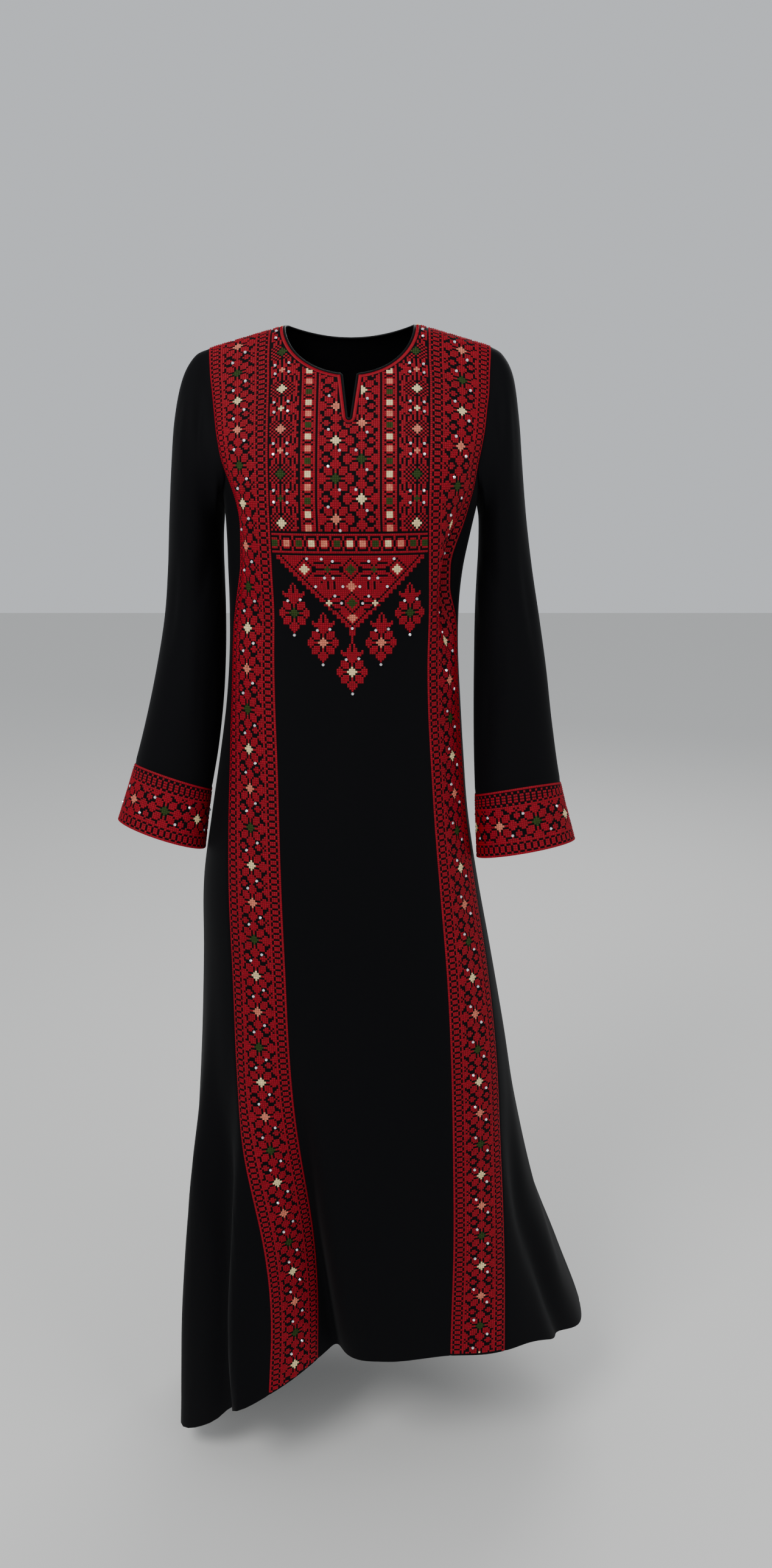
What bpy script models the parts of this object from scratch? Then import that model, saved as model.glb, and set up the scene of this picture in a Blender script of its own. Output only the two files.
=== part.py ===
"""A long embroidered thobe dress in its worn, hollow form.

Metres, +Z up. The front faces -Y, and left and right are as seen from the front, so the
left side is at -X. The origin lies midway between the two neck ends of the shoulder seams.
The body is a stack of ovals, one for each row of BODY. Each panel is a wall between two
seams, and a place on it is given by its section, which counts the rows of BODY from the
shoulder, and by its arc, the distance along the oval from the middle of the front or back.
"""

from functools import lru_cache

import bpy
import numpy as np

# Cloth and seams
WALL = 0.0016
SEAM = 0.0003
SLEEVE_SEAM = 0.0005

# Embroidered panels: half the middle panel, and one strip of thirty stitches
MIDDLE_HALF = 0.0932
STRIP_WIDTH = 0.0750
MIDDLE_HALF_HEM = 0.1040
FLARE_START, FLARE_END = 14.0, 21.0

# Neck, slit and shoulder
NECK_HALF = 0.078
NECK_DEPTH_FRONT = 0.0595
NECK_DEPTH_BACK = 0.014
SLIT_HALF_TOP = 0.0100
SLIT_HALF_BOTTOM = 0.0034
SLIT_LENGTH = 0.046
PIPING_RADIUS = 0.0013
PIPING_GAP = 0.0004
SLIT_COLUMNS = (0, 0.0034, 0.0056, 0.0078, 0.0100)
FRONT_NECK_TURNS = (14, 24, 36, 48, 60, 70, 80, 90)
BACK_NECK_TURNS = (0, 18, 36, 54, 68, 80, 90)
SHOULDER_HALF = 0.172
SHOULDER_DROP = 0.0265
DROP_FADES_AT = -0.20
DROP_REACH = 1.1

# Armhole: it runs down the outer seam of the strip to the notch, then out to the side
NOTCH_LEVEL = -0.155
UNDERARM_LEVEL = -0.205
BACK_NOTCH_LEVEL = -0.120
BACK_HALF = 0.168

# Body sections from the shoulder seam to below the hem. left and right are where the
# side seams hang, front and back how far the cloth stands off the central plane,
# middle is where the middle of the front lies, and corner_left and corner_right how
# square the front is on each side; the back keeps one squareness.
BODY_COLUMNS = (
    "level", "left", "right", "front", "back", "middle", "corner_left", "corner_right"
)
BODY = np.array(
    [
        (0.000, -0.192, 0.190, 0.000, 0.000, -0.004, 2.6, 2.6),
        (-0.004, -0.191, 0.189, 0.020, 0.020, -0.004, 2.6, 2.6),
        (-0.016, -0.190, 0.188, 0.036, 0.036, -0.004, 2.6, 2.6),
        (-0.036, -0.188, 0.186, 0.053, 0.050, -0.004, 2.6, 2.6),
        (-0.060, -0.186, 0.183, 0.073, 0.062, -0.003, 2.6, 2.6),
        (-0.085, -0.183, 0.179, 0.093, 0.073, -0.003, 2.6, 2.6),
        (-0.110, -0.179, 0.175, 0.111, 0.082, -0.003, 2.7, 2.7),
        (-0.135, -0.174, 0.169, 0.127, 0.089, -0.003, 2.7, 2.7),
        (-0.155, -0.169, 0.163, 0.137, 0.093, -0.003, 2.7, 2.7),
        (-0.180, -0.163, 0.157, 0.145, 0.096, -0.003, 2.7, 2.7),
        (-0.205, -0.158, 0.151, 0.149, 0.098, -0.003, 2.7, 2.7),
        (-0.245, -0.156, 0.142, 0.147, 0.096, -0.002, 2.7, 2.8),
        (-0.285, -0.156, 0.134, 0.140, 0.092, -0.001, 2.7, 3.0),
        (-0.330, -0.156, 0.130, 0.133, 0.090, 0.000, 2.7, 3.0),
        (-0.385, -0.157, 0.130, 0.129, 0.092, -0.001, 3.1, 2.9),
        (-0.450, -0.163, 0.134, 0.130, 0.098, 0.000, 3.1, 2.8),
        (-0.520, -0.174, 0.139, 0.133, 0.106, 0.003, 2.9, 2.8),
        (-0.600, -0.188, 0.146, 0.138, 0.115, 0.006, 2.8, 3.0),
        (-0.690, -0.202, 0.160, 0.144, 0.124, 0.010, 2.7, 3.4),
        (-0.790, -0.206, 0.179, 0.151, 0.132, 0.015, 2.7, 3.8),
        (-0.900, -0.212, 0.199, 0.160, 0.141, 0.019, 2.7, 3.8),
        (-1.020, -0.221, 0.219, 0.171, 0.151, 0.022, 2.7, 3.4),
        (-1.150, -0.234, 0.248, 0.184, 0.163, 0.024, 2.8, 3.0),
        (-1.280, -0.246, 0.294, 0.199, 0.176, 0.022, 2.9, 2.7),
        (-1.380, -0.252, 0.330, 0.211, 0.186, 0.021, 2.9, 2.6),
        (-1.480, -0.257, 0.352, 0.222, 0.195, 0.020, 2.9, 2.6),
    ]
)
BACK_CORNER = 2.4
LEAST_FOLDED_DEPTH = 0.05

# Level of the hem round the skirt: 0 is the front, 90 the right side, 180 the back
HEM_COLUMNS = ("angle", "level")
HEM = np.array(
    [
        (-180, -1.410),
        (-130, -1.430),
        (-90, -1.460),
        (-66, -1.478),
        (-52, -1.466),
        (-40, -1.412),
        (-30, -1.380),
        (-20, -1.352),
        (-10, -1.325),
        (0, -1.308),
        (45, -1.310),
        (60, -1.335),
        (80, -1.362),
        (90, -1.372),
        (130, -1.395),
        (180, -1.410),
    ]
)

HEM_TURNS = (-6.0, -3.0, 0.0, 3.0, 6.0)

# Soft folds of the body. A fold follows the oval's angle from its upper to its lower end;
# a positive depth is a trough, a negative one a ridge.
FOLD_COLUMNS = ("upper", "lower", "fade", "angle_up", "angle_low", "half_width", "depth")
FOLDS = np.array(
    [
        (-0.18, -0.40, 0.10, 56, 62, 9.0, 0.024),
        (-0.14, -0.36, 0.09, -62, -58, 7.0, 0.011),
        (-0.80, -1.90, 0.50, -17, -3, 6.5, 0.056),
        (-0.80, -1.90, 0.50, -34, -23, 7.0, -0.028),
        (-0.85, -1.90, 0.45, -46, -40, 6.0, 0.012),
        (-0.75, -1.90, 0.45, -62, -64, 8.0, -0.012),
        (-0.90, -1.90, 0.40, 12, 16, 9.0, 0.008),
        (-0.95, -1.90, 0.35, 62, 70, 8.0, 0.014),
        (-0.50, -1.90, 0.45, 118, 122, 10.0, 0.016),
        (-0.45, -1.90, 0.45, 150, 152, 9.0, 0.018),
        (-0.45, -1.90, 0.45, -150, -152, 9.0, 0.018),
        (-0.50, -1.90, 0.45, -118, -122, 10.0, 0.016),
    ]
)

# Sleeves from the armhole to the cuff's edge. outer and inner are the two side lines of
# the tube, front and back how far it reaches before and behind the central plane.
SLEEVE_COLUMNS = ("outer_x", "outer_z", "inner_x", "inner_z", "front", "back")
SLEEVES = {
    "left": np.array(
        [
            (-0.1760, -0.0265, -0.1580, -0.2050, -0.070, 0.060),
            (-0.1925, -0.0350, -0.1610, -0.2130, -0.071, 0.060),
            (-0.2060, -0.0600, -0.1610, -0.2250, -0.071, 0.058),
            (-0.2155, -0.1050, -0.1625, -0.2450, -0.070, 0.055),
            (-0.2220, -0.1640, -0.1630, -0.2700, -0.068, 0.050),
            (-0.2270, -0.2250, -0.1625, -0.3000, -0.067, 0.044),
            (-0.2310, -0.2850, -0.1620, -0.3420, -0.068, 0.037),
            (-0.2370, -0.3440, -0.1630, -0.3920, -0.072, 0.029),
            (-0.2490, -0.4080, -0.1665, -0.4480, -0.078, 0.019),
            (-0.2645, -0.4740, -0.1740, -0.5090, -0.086, 0.009),
            (-0.2820, -0.5360, -0.1850, -0.5700, -0.094, 0.000),
            (-0.3055, -0.6060, -0.1955, -0.6460, -0.104, -0.003),
        ]
    ),
    "right": np.array(
        [
            (0.1700, -0.0265, 0.1510, -0.2050, -0.070, 0.060),
            (0.1830, -0.0350, 0.1520, -0.2130, -0.071, 0.060),
            (0.1935, -0.0580, 0.1535, -0.2250, -0.071, 0.058),
            (0.1995, -0.1050, 0.1540, -0.2450, -0.070, 0.055),
            (0.2050, -0.1640, 0.1535, -0.2700, -0.068, 0.050),
            (0.2115, -0.2250, 0.1520, -0.3000, -0.067, 0.044),
            (0.2200, -0.2850, 0.1505, -0.3420, -0.068, 0.037),
            (0.2300, -0.3440, 0.1500, -0.3950, -0.073, 0.028),
            (0.2400, -0.4080, 0.1500, -0.4550, -0.080, 0.017),
            (0.2490, -0.4780, 0.1510, -0.5180, -0.088, 0.007),
            (0.2615, -0.5530, 0.1535, -0.5830, -0.096, -0.002),
            (0.2815, -0.6270, 0.1570, -0.6620, -0.106, -0.006),
        ]
    ),
}
BEND_ROWS = 3.5
CUFF_ROW = 10.0
CUFF_HEIGHT = 0.0795

# How finely the walls are divided
HEM_SECTION = 23.25
ROWS = np.concatenate([np.arange(0, 14), np.arange(14, 23.01, 0.5), [HEM_SECTION]])
NECK_BLEND_ROWS = 14
ARMHOLE_BLEND_ROWS = 9
HEM_BLEND_ROWS = 8
STRIP_COLUMNS = 6
SIDE_SHARES = (0, 0.06, 0.18, 0.36, 0.58, 0.80, 1.0)
BACK_SHOULDER_COLUMNS = 5
ROUND_SAMPLES = 721
SLEEVE_SIDES = 20
SLEEVE_ROWS = 19
CUFF_ROWS = 3

# Materials: name to colour, roughness and metallic value
MATERIALS = {
    "black_crepe": ((0.012, 0.012, 0.016, 1.0), 0.75, 0.0),
    "red_embroidery": ((0.42, 0.02, 0.03, 1.0), 0.55, 0.0),
    "black_satin_piping": ((0.008, 0.008, 0.010, 1.0), 0.45, 0.0),
}


def spline(values, place, mirrored=False):
    """Smooth curve through values at 0, 1, 2 and so on, read at place. A mirrored
    column changes its sign over the first value, an even one has no slope there."""
    before = -values[1] if mirrored else values[1]
    padded = np.concatenate([[before], values, [2 * values[-1] - values[-2]]])
    place = np.clip(place, 0, len(values) - 1)
    low = np.minimum(place.astype(int), len(values) - 2)
    share = place - low
    p0, p1, p2, p3 = padded[low], padded[low + 1], padded[low + 2], padded[low + 3]
    return 0.5 * (
        2 * p1
        + (p2 - p0) * share
        + (2 * p0 - 5 * p1 + 4 * p2 - p3) * share**2
        + (3 * p1 - p0 - 3 * p2 + p3) * share**3
    )


def body_column(name, section):
    """One column of BODY, read smoothly at a section."""
    values = BODY[:, BODY_COLUMNS.index(name)]
    return spline(values, section, mirrored=name in ("front", "back"))


def smooth_step(share):
    """0 below 0, 1 above 1, and an even S between."""
    share = np.clip(share, 0, 1)
    return share * share * (3 - 2 * share)


@lru_cache(maxsize=None)
def fine_levels():
    """A fine scale of sections, and their levels counted downwards."""
    fine = np.linspace(0, len(BODY) - 1, 2501)
    return fine, -body_column("level", fine)


def section_at(level):
    """The section whose level this is, found on the fine scale."""
    fine, depths = fine_levels()
    return np.interp(-np.asarray(level, float), depths, fine)


def fold_depth(angle, level):
    """Sum of the folds at an angle in degrees and a level: a bell across each fold,
    which fades in and out along it."""
    total = np.zeros(np.broadcast(angle, level).shape)
    for row in FOLDS:
        fold = dict(zip(FOLD_COLUMNS, row))
        below, above = fold["upper"] - level, level - fold["lower"]
        along = np.clip(below / (fold["upper"] - fold["lower"]), 0, 1)
        centre = fold["angle_up"] + (fold["angle_low"] - fold["angle_up"]) * along
        across = (angle - centre) / fold["half_width"]
        window = smooth_step(below / fold["fade"]) * smooth_step(above / fold["fade"])
        total = total + fold["depth"] * np.exp(-(across**2)) * window
    return total


def oval(section, degrees):
    """Outer face of the body at a section and an angle: an oval between an ellipse and
    a box, pushed in by the folds, with the shoulders sloping down from the neck."""
    angle = np.radians(degrees)
    side, ahead = np.sin(angle), np.cos(angle)
    left, right = body_column("left", section), body_column("right", section)
    corner = np.where(
        side > 0, body_column("corner_right", section), body_column("corner_left", section)
    )
    power = 2 / np.where(ahead > 0, corner, BACK_CORNER)
    across = np.sign(side) * np.abs(side) ** power
    depth = np.where(
        ahead > 0, body_column("front", section), body_column("back", section)
    )
    away = np.sign(ahead) * np.abs(ahead) ** power
    level = body_column("level", section)
    turned = (degrees + 180) % 360 - 180
    pushed = 1 - fold_depth(turned, level) / np.maximum(depth, LEAST_FOLDED_DEPTH)
    x = (left + right) / 2 + (right - left) / 2 * across * pushed
    y = -depth * away * pushed
    outwards = (np.abs(x) - NECK_HALF) / (SHOULDER_HALF - NECK_HALF)
    fade = smooth_step((level - DROP_FADES_AT) / -DROP_FADES_AT)
    z = level - SHOULDER_DROP * np.clip(outwards, 0, DROP_REACH) * fade
    return np.stack([x, y, z], -1)


@lru_cache(maxsize=None)
def half_oval(section, back):
    """Points along the front or back half at one section, and their arcs."""
    degrees = np.linspace(-91, 91, ROUND_SAMPLES)
    points = oval(np.full(ROUND_SAMPLES, section), 180 - degrees if back else degrees)
    steps = np.hypot(*np.diff(points[:, :2], axis=0).T)
    arcs = np.concatenate([[0], np.cumsum(steps)])
    middle = body_column("middle", np.array([section]))[0]
    arcs = arcs - np.interp(middle, points[:, 0], arcs)
    return degrees, points, arcs


def side_arc(section, back, sign):
    """Arc of the side seam at one section, sign -1 for left and 1 for right."""
    degrees, _, arcs = half_oval(section, back)
    return np.interp(90.0 * sign, degrees, arcs)


def body_points(sections, arcs, back=False):
    """Outer face at sections and arcs, two arrays of one shape. The front half stands
    half a seam before the central plane and the back half as much behind it."""
    sections, arcs = np.broadcast_arrays(sections, arcs)
    found = np.empty(sections.shape + (3,))
    for section in np.unique(sections):
        chosen = sections == section
        _, points, along = half_oval(section, back)
        for axis in range(3):
            found[chosen, axis] = np.interp(arcs[chosen], along, points[:, axis])
    found[..., 1] += SEAM / 2 if back else -SEAM / 2
    return found


def body_normals(sections, arcs, back=False):
    """Outward directions of the same face, from points a little to each side."""
    reach, step = 0.0015, 0.04
    upper = np.maximum(sections - step, 0)
    down = body_points(sections + step, arcs, back) - body_points(upper, arcs, back)
    over = body_points(sections, arcs + reach, back)
    over = over - body_points(sections, arcs - reach, back)
    normals = np.cross(over, down) if back else np.cross(down, over)
    normals[np.broadcast_to(sections, normals.shape[:-1]) < step, 1] = 0
    return normals / np.linalg.norm(normals, axis=-1, keepdims=True)


def middle_half(section):
    """Half the width of the middle panel, which flares from the hip to the hem."""
    share = smooth_step((section - FLARE_START) / (FLARE_END - FLARE_START))
    return MIDDLE_HALF + (MIDDLE_HALF_HEM - MIDDLE_HALF) * share


def neck_level(arc, back):
    """Level of the round neckline at an arc: half an ellipse seen from the front, and
    behind it a shallow bow."""
    bow = np.clip(1 - (arc / NECK_HALF) ** 2, 0, 1)
    return -NECK_DEPTH_BACK * bow if back else -NECK_DEPTH_FRONT * np.sqrt(bow)


def slit_drop(arc):
    """How far the slit reaches below the neckline at an arc, round at its foot."""
    arc = np.abs(arc)
    straight = SLIT_LENGTH * (SLIT_HALF_TOP - arc) / (SLIT_HALF_TOP - SLIT_HALF_BOTTOM)
    foot = np.sqrt(np.clip(SLIT_HALF_BOTTOM**2 - arc**2, 0, None))
    return np.where(
        arc < SLIT_HALF_BOTTOM, SLIT_LENGTH + foot, np.clip(straight, 0, None)
    )


def front_top(arc):
    """Section where the middle panel ends above, at its neckline, slit or shoulder."""
    level = neck_level(arc, back=False) - slit_drop(arc)
    return np.where(np.abs(arc) < NECK_HALF, section_at(level), 0.0)


def back_top(arc):
    """Section where the back panel ends above, at its neckline or shoulder."""
    level = neck_level(arc, back=True)
    return np.where(np.abs(arc) < NECK_HALF, section_at(level), 0.0)


def armhole_share(level, notch):
    """How far the armhole has run from the strip's seam, 0, to the side seam, 1."""
    down = np.clip((notch - level) / (notch - UNDERARM_LEVEL), 0, 1)
    return 1 - np.sqrt(1 - down**2)


def armhole_arc(section, back, sign):
    """Arc of the armhole's edge at one section, or of the side seam below it."""
    side = side_arc(section, back, sign)
    level = body_column("level", np.array([section]))[0]
    near = BACK_HALF if back else MIDDLE_HALF + STRIP_WIDTH
    notch = BACK_NOTCH_LEVEL if back else NOTCH_LEVEL
    share = armhole_share(level, notch)
    return sign * near + (side - sign * near) * share


def hem_level(angle):
    """Level of the hem at an angle, a mean over a few degrees that rounds its corners."""
    angles = HEM[:, HEM_COLUMNS.index("angle")]
    levels = HEM[:, HEM_COLUMNS.index("level")]
    return sum(np.interp(angle + turn, angles, levels) for turn in HEM_TURNS) / len(HEM_TURNS)


def hem_section(arcs, back=False):
    """Section of the hem below each arc, by the angle that the arc has near the hem."""
    degrees, _, along = half_oval(HEM_SECTION, back)
    angle = np.interp(arcs, along, degrees)
    if back:
        angle = (360 - angle) % 360 - 180
    return section_at(hem_level(angle))


def panel_sections(rows, tops, bottoms, top_rows, bottom_rows):
    """Sections of a panel's grid: the shared rows, with the first ones moved so that
    they start at tops and the last ones so that they end at bottoms."""
    count = np.arange(len(rows))[:, None]
    from_top = np.clip(1 - count / top_rows, 0, 1)
    from_hem = np.clip(1 - (len(rows) - 1 - count) / bottom_rows, 0, 1)
    sections = rows[:, None] + (tops - rows[0])[None] * from_top
    return sections + (bottoms - rows[-1])[None] * from_hem


def material(name):
    """A Principled material of one colour."""
    colour, roughness, metallic = MATERIALS[name]
    made = bpy.data.materials.new(name)
    made.use_nodes = True
    shader = made.node_tree.nodes["Principled BSDF"]
    shader.inputs["Base Color"].default_value = colour
    shader.inputs["Roughness"].default_value = roughness
    shader.inputs["Metallic"].default_value = metallic
    made.diffuse_color = colour
    return made


def wall(name, outer, normals, collection, surface, closed=False):
    """A wall of cloth from the grid of its outer face, its inner face a wall's
    thickness inside along the face's own directions. Each edge face starts at its lower
    outer corner, so the two walls of a seam are divided alike and stay parallel."""
    rows, columns = outer.shape[:2]
    inner = outer - normals * WALL
    points = np.concatenate([outer.reshape(-1, 3), inner.reshape(-1, 3)])
    spans = columns if closed else columns - 1
    row, column = np.meshgrid(np.arange(rows - 1), np.arange(spans), indexing="ij")
    beside = (column + 1) % columns
    a, b = row * columns + column, row * columns + beside
    c, d = b + columns, a + columns
    shift = rows * columns
    quads = [
        np.stack([a, d, c, b], -1).reshape(-1, 4),
        np.stack([a, b, c, d], -1).reshape(-1, 4) + shift,
    ]
    edge = np.arange(spans)
    first, second = edge, (edge + 1) % columns
    quads.append(np.stack([first, second, second + shift, first + shift], -1))
    last, other = first + (rows - 1) * columns, second + (rows - 1) * columns
    quads.append(np.stack([other, last, last + shift, other + shift], -1))
    if not closed:
        first = np.arange(rows - 1) * columns
        second = first + columns
        quads.append(np.stack([second, first, first + shift, second + shift], -1))
        last, other = first + columns - 1, second + columns - 1
        quads.append(np.stack([other, other + shift, last + shift, last], -1))
    faces = np.concatenate(quads)
    over = outer[0, 1] - outer[0, 0]
    down = outer[1, 0] - outer[0, 0]
    if np.dot(np.cross(down, over), normals[0, 0]) < 0:
        faces = faces[:, [0, 3, 2, 1]]
    mesh = bpy.data.meshes.new(name)
    mesh.from_pydata(points.tolist(), [], faces.tolist())
    mesh.shade_smooth()
    mesh.set_sharp_from_angle(angle=np.radians(50))
    mesh.materials.append(surface)
    made = bpy.data.objects.new(name, mesh)
    collection.objects.link(made)
    return made


def both_sides(right):
    """The same columns on both sides of the first one, which is the middle."""
    return np.concatenate([-right[:0:-1], right])


def neck_arcs(back):
    """Arcs of the columns that end at the neckline, closer at the slit and shoulder."""
    turns = BACK_NECK_TURNS if back else FRONT_NECK_TURNS
    beside = NECK_HALF * np.sin(np.radians(turns))
    return both_sides(beside if back else np.concatenate([SLIT_COLUMNS, beside]))


def front_centre(collection, surface):
    """The middle of the front, with the neckline and its slit."""
    edge = MIDDLE_HALF - SEAM / 2
    top_arcs = np.concatenate([[-edge], neck_arcs(back=False), [edge]])
    shares = top_arcs / top_arcs[-1]
    hem_arcs = shares * MIDDLE_HALF_HEM
    sections = panel_sections(
        ROWS,
        front_top(top_arcs),
        hem_section(hem_arcs),
        NECK_BLEND_ROWS,
        HEM_BLEND_ROWS,
    )
    arcs = shares[None] * (middle_half(sections) - SEAM / 2)
    normals = body_normals(sections, arcs)
    return wall(
        "front_centre", body_points(sections, arcs), normals, collection, surface
    )


def strip(name, sign, collection, surface):
    """One embroidered strip, from the shoulder seam to the hem."""
    shares = np.linspace(0, 1, STRIP_COLUMNS)
    hem_arcs = sign * (MIDDLE_HALF_HEM + shares * STRIP_WIDTH)
    tops = np.zeros(len(shares))
    sections = panel_sections(
        ROWS, tops, hem_section(hem_arcs), NECK_BLEND_ROWS, HEM_BLEND_ROWS
    )
    inner = middle_half(sections) + SEAM / 2
    arcs = sign * (inner + shares[None] * (STRIP_WIDTH - SEAM))
    normals = body_normals(sections, arcs)
    return wall(name, body_points(sections, arcs), normals, collection, surface)


def front_side(name, sign, collection, surface):
    """The side of the front, a point at the armhole's notch that widens to the hem."""
    shares = np.array(SIDE_SHARES)
    rows = ROWS[ROWS >= section_at(NOTCH_LEVEL) - 1e-6]
    drop = np.sqrt(1 - (1 - shares) ** 2) * (NOTCH_LEVEL - UNDERARM_LEVEL)
    tops = section_at(NOTCH_LEVEL - drop)
    inner = MIDDLE_HALF_HEM + STRIP_WIDTH
    side = abs(side_arc(HEM_SECTION, False, sign))
    hem_arcs = sign * (inner + shares * (side - inner))
    sections = panel_sections(
        rows, tops, hem_section(hem_arcs), ARMHOLE_BLEND_ROWS, HEM_BLEND_ROWS
    )
    sides = np.array([abs(side_arc(s, False, sign)) for s in sections.ravel()])
    near = middle_half(sections) + STRIP_WIDTH + SEAM / 2
    arcs = sign * (near + shares[None] * (sides.reshape(sections.shape) - near))
    normals = body_normals(sections, arcs)
    return wall(name, body_points(sections, arcs), normals, collection, surface)


def back_panel(collection, surface):
    """The back in one piece, plain."""
    beyond = np.linspace(NECK_HALF, BACK_HALF, BACK_SHOULDER_COLUMNS + 1)[1:]
    top_arcs = np.concatenate([-beyond[::-1], neck_arcs(back=True), beyond])
    shares = top_arcs / BACK_HALF
    hem_arcs = np.array(
        [abs(s) * side_arc(HEM_SECTION, True, -1 if s < 0 else 1) for s in shares]
    )
    sections = panel_sections(
        ROWS,
        back_top(top_arcs),
        hem_section(hem_arcs, back=True),
        NECK_BLEND_ROWS,
        HEM_BLEND_ROWS,
    )
    edges = np.array(
        [
            [
                abs(armhole_arc(section, True, -1 if share < 0 else 1))
                for section, share in zip(row, shares)
            ]
            for row in sections
        ]
    )
    arcs = shares[None] * edges
    normals = body_normals(sections, arcs, back=True)
    points = body_points(sections, arcs, back=True)
    return wall("back", points, normals, collection, surface)


def armhole_points(sign, degrees):
    """The armhole's edge. 0 is the shoulder, 90 the front, 180 the underarm."""
    found = np.empty((len(degrees), 3))
    depth = UNDERARM_LEVEL * (1 - np.cos(np.radians(degrees))) / 2
    for index, (level, turn) in enumerate(zip(depth, degrees)):
        back = turn % 360 > 180
        section = float(section_at(level))
        arc = armhole_arc(section, back, sign)
        found[index] = body_points(np.array([section]), np.array([arc]), back)[0]
    found[:, 0] += sign * SLEEVE_SEAM
    return found


def sleeve_ovals(side, rows, degrees):
    """Ovals between the two side lines of a sleeve, one for each row."""
    table = SLEEVES[side]
    columns = {
        name: spline_open(table[:, index], rows)
        for index, name in enumerate(SLEEVE_COLUMNS)
    }
    angle = np.radians(degrees)[None]
    turn, ahead = np.cos(angle), np.sin(angle)
    outer_x, inner_x = columns["outer_x"][:, None], columns["inner_x"][:, None]
    outer_z, inner_z = columns["outer_z"][:, None], columns["inner_z"][:, None]
    front, back = columns["front"][:, None], columns["back"][:, None]
    x = (outer_x + inner_x) / 2 + (outer_x - inner_x) / 2 * turn
    z = (outer_z + inner_z) / 2 + (outer_z - inner_z) / 2 * turn
    y = (front + back) / 2 - (back - front) / 2 * ahead
    return np.stack([x, y, z], -1)


def sleeve_points(side, rows, degrees):
    """Outer face of a sleeve: its ovals, the first of which is bent to the armhole's
    edge; the bend fades over the next rows."""
    sign = -1 if side == "left" else 1
    bend = armhole_points(sign, degrees) - sleeve_ovals(side, np.zeros(1), degrees)[0]
    fade = 1 - smooth_step(rows / BEND_ROWS)
    return sleeve_ovals(side, rows, degrees) + bend[None] * fade[:, None, None]


def spline_open(values, place):
    """The same curve for a column that is simply carried on at both ends."""
    padded = np.concatenate([[2 * values[0] - values[1]], values])
    return spline(padded, place + 1)


def sleeve_normals(side, rows, degrees):
    """Outward directions of a sleeve's face."""
    low = np.maximum(rows - 0.03, 0)
    down = sleeve_points(side, rows + 0.03, degrees) - sleeve_points(side, low, degrees)
    over = sleeve_points(side, rows, degrees + 0.5)
    over = over - sleeve_points(side, rows, degrees - 0.5)
    normals = np.cross(over, down)
    normals = normals / np.linalg.norm(normals, axis=-1, keepdims=True)
    points = sleeve_points(side, rows, degrees)
    away = points - points.mean(axis=1, keepdims=True)
    facing = np.sign(np.sum(normals * away, axis=-1, keepdims=True).mean())
    return normals * facing


def sleeve_wall(name, side, rows, collection, surface):
    """A tube of cloth between two rows of a sleeve's table."""
    degrees = np.arange(SLEEVE_SIDES) * 360 / SLEEVE_SIDES
    points = sleeve_points(side, rows, degrees)
    normals = sleeve_normals(side, rows, degrees)
    return wall(name, points, normals, collection, surface, closed=True)


def edge_line(back):
    """Points and outward directions along the neckline, from the left neck end of the
    shoulder seam to the right, at the columns where the panel below it ends."""
    arcs = neck_arcs(back)
    sections = back_top(arcs) if back else front_top(arcs)
    return body_points(sections, arcs, back), body_normals(sections, arcs, back)


def neck_piping(collection, surface):
    """A thin round piping just inside the neckline and the slit, in one loop."""
    front, front_out = edge_line(back=False)
    back, back_out = edge_line(back=True)
    points = np.concatenate([front, back[-2:0:-1]])
    outward = np.concatenate([front_out, back_out[-2:0:-1]])
    ahead = np.roll(points, -1, axis=0) - np.roll(points, 1, axis=0)
    ahead = ahead / np.linalg.norm(ahead, axis=1, keepdims=True)
    into_neck = np.cross(outward, ahead)
    into_neck = into_neck / np.linalg.norm(into_neck, axis=1, keepdims=True)
    line = points - outward * WALL / 2 + into_neck * (PIPING_RADIUS + PIPING_GAP)
    curve = bpy.data.curves.new("neck_piping", "CURVE")
    curve.dimensions = "3D"
    curve.bevel_depth = PIPING_RADIUS
    curve.bevel_resolution = 1
    path = curve.splines.new("POLY")
    path.points.add(len(line) - 1)
    path.points.foreach_set("co", np.c_[line, np.ones(len(line))].ravel())
    path.use_cyclic_u = True
    curve.materials.append(surface)
    made = bpy.data.objects.new("neck_piping", curve)
    collection.objects.link(made)
    return made


def build():
    """Clears the scene and makes every panel."""
    for old in list(bpy.data.objects):
        bpy.data.objects.remove(old)
    collection = bpy.data.collections.new("thobe_dress")
    bpy.context.scene.collection.children.link(collection)
    black = material("black_crepe")
    red = material("red_embroidery")
    front_centre(collection, black)
    back_panel(collection, black)
    seam_share = SEAM / 2 / CUFF_HEIGHT
    sleeve_rows = np.linspace(0, CUFF_ROW - seam_share, SLEEVE_ROWS)
    cuff_rows = np.linspace(CUFF_ROW + seam_share, CUFF_ROW + 1, CUFF_ROWS)
    for side, sign in (("left", -1), ("right", 1)):
        strip("strip_" + side, sign, collection, red)
        front_side("front_side_" + side, sign, collection, black)
        sleeve_wall("sleeve_" + side, side, sleeve_rows, collection, black)
        sleeve_wall("cuff_" + side, side, cuff_rows, collection, red)
    neck_piping(collection, material("black_satin_piping"))


build()
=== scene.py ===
"""Display scene for a long black thobe dress with cross-stitch embroidery.

Metres, +Z up, the front towards -Y, left and right as seen from the front. Only BODY,
SLEEVES, FRONT_CREASES and BACK_CREASES are written in millimetres. Every cloth surface is
a function of two numbers: on the body a section, which counts the rows of BODY from the
shoulder, and an arc, the distance round the body from the middle of the front or back; on
a sleeve a row of its table and a turn in degrees. Panels are thin shells on that surface
with listed creases, and each stitch and stone is set on it.
"""

from functools import lru_cache, partial

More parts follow.
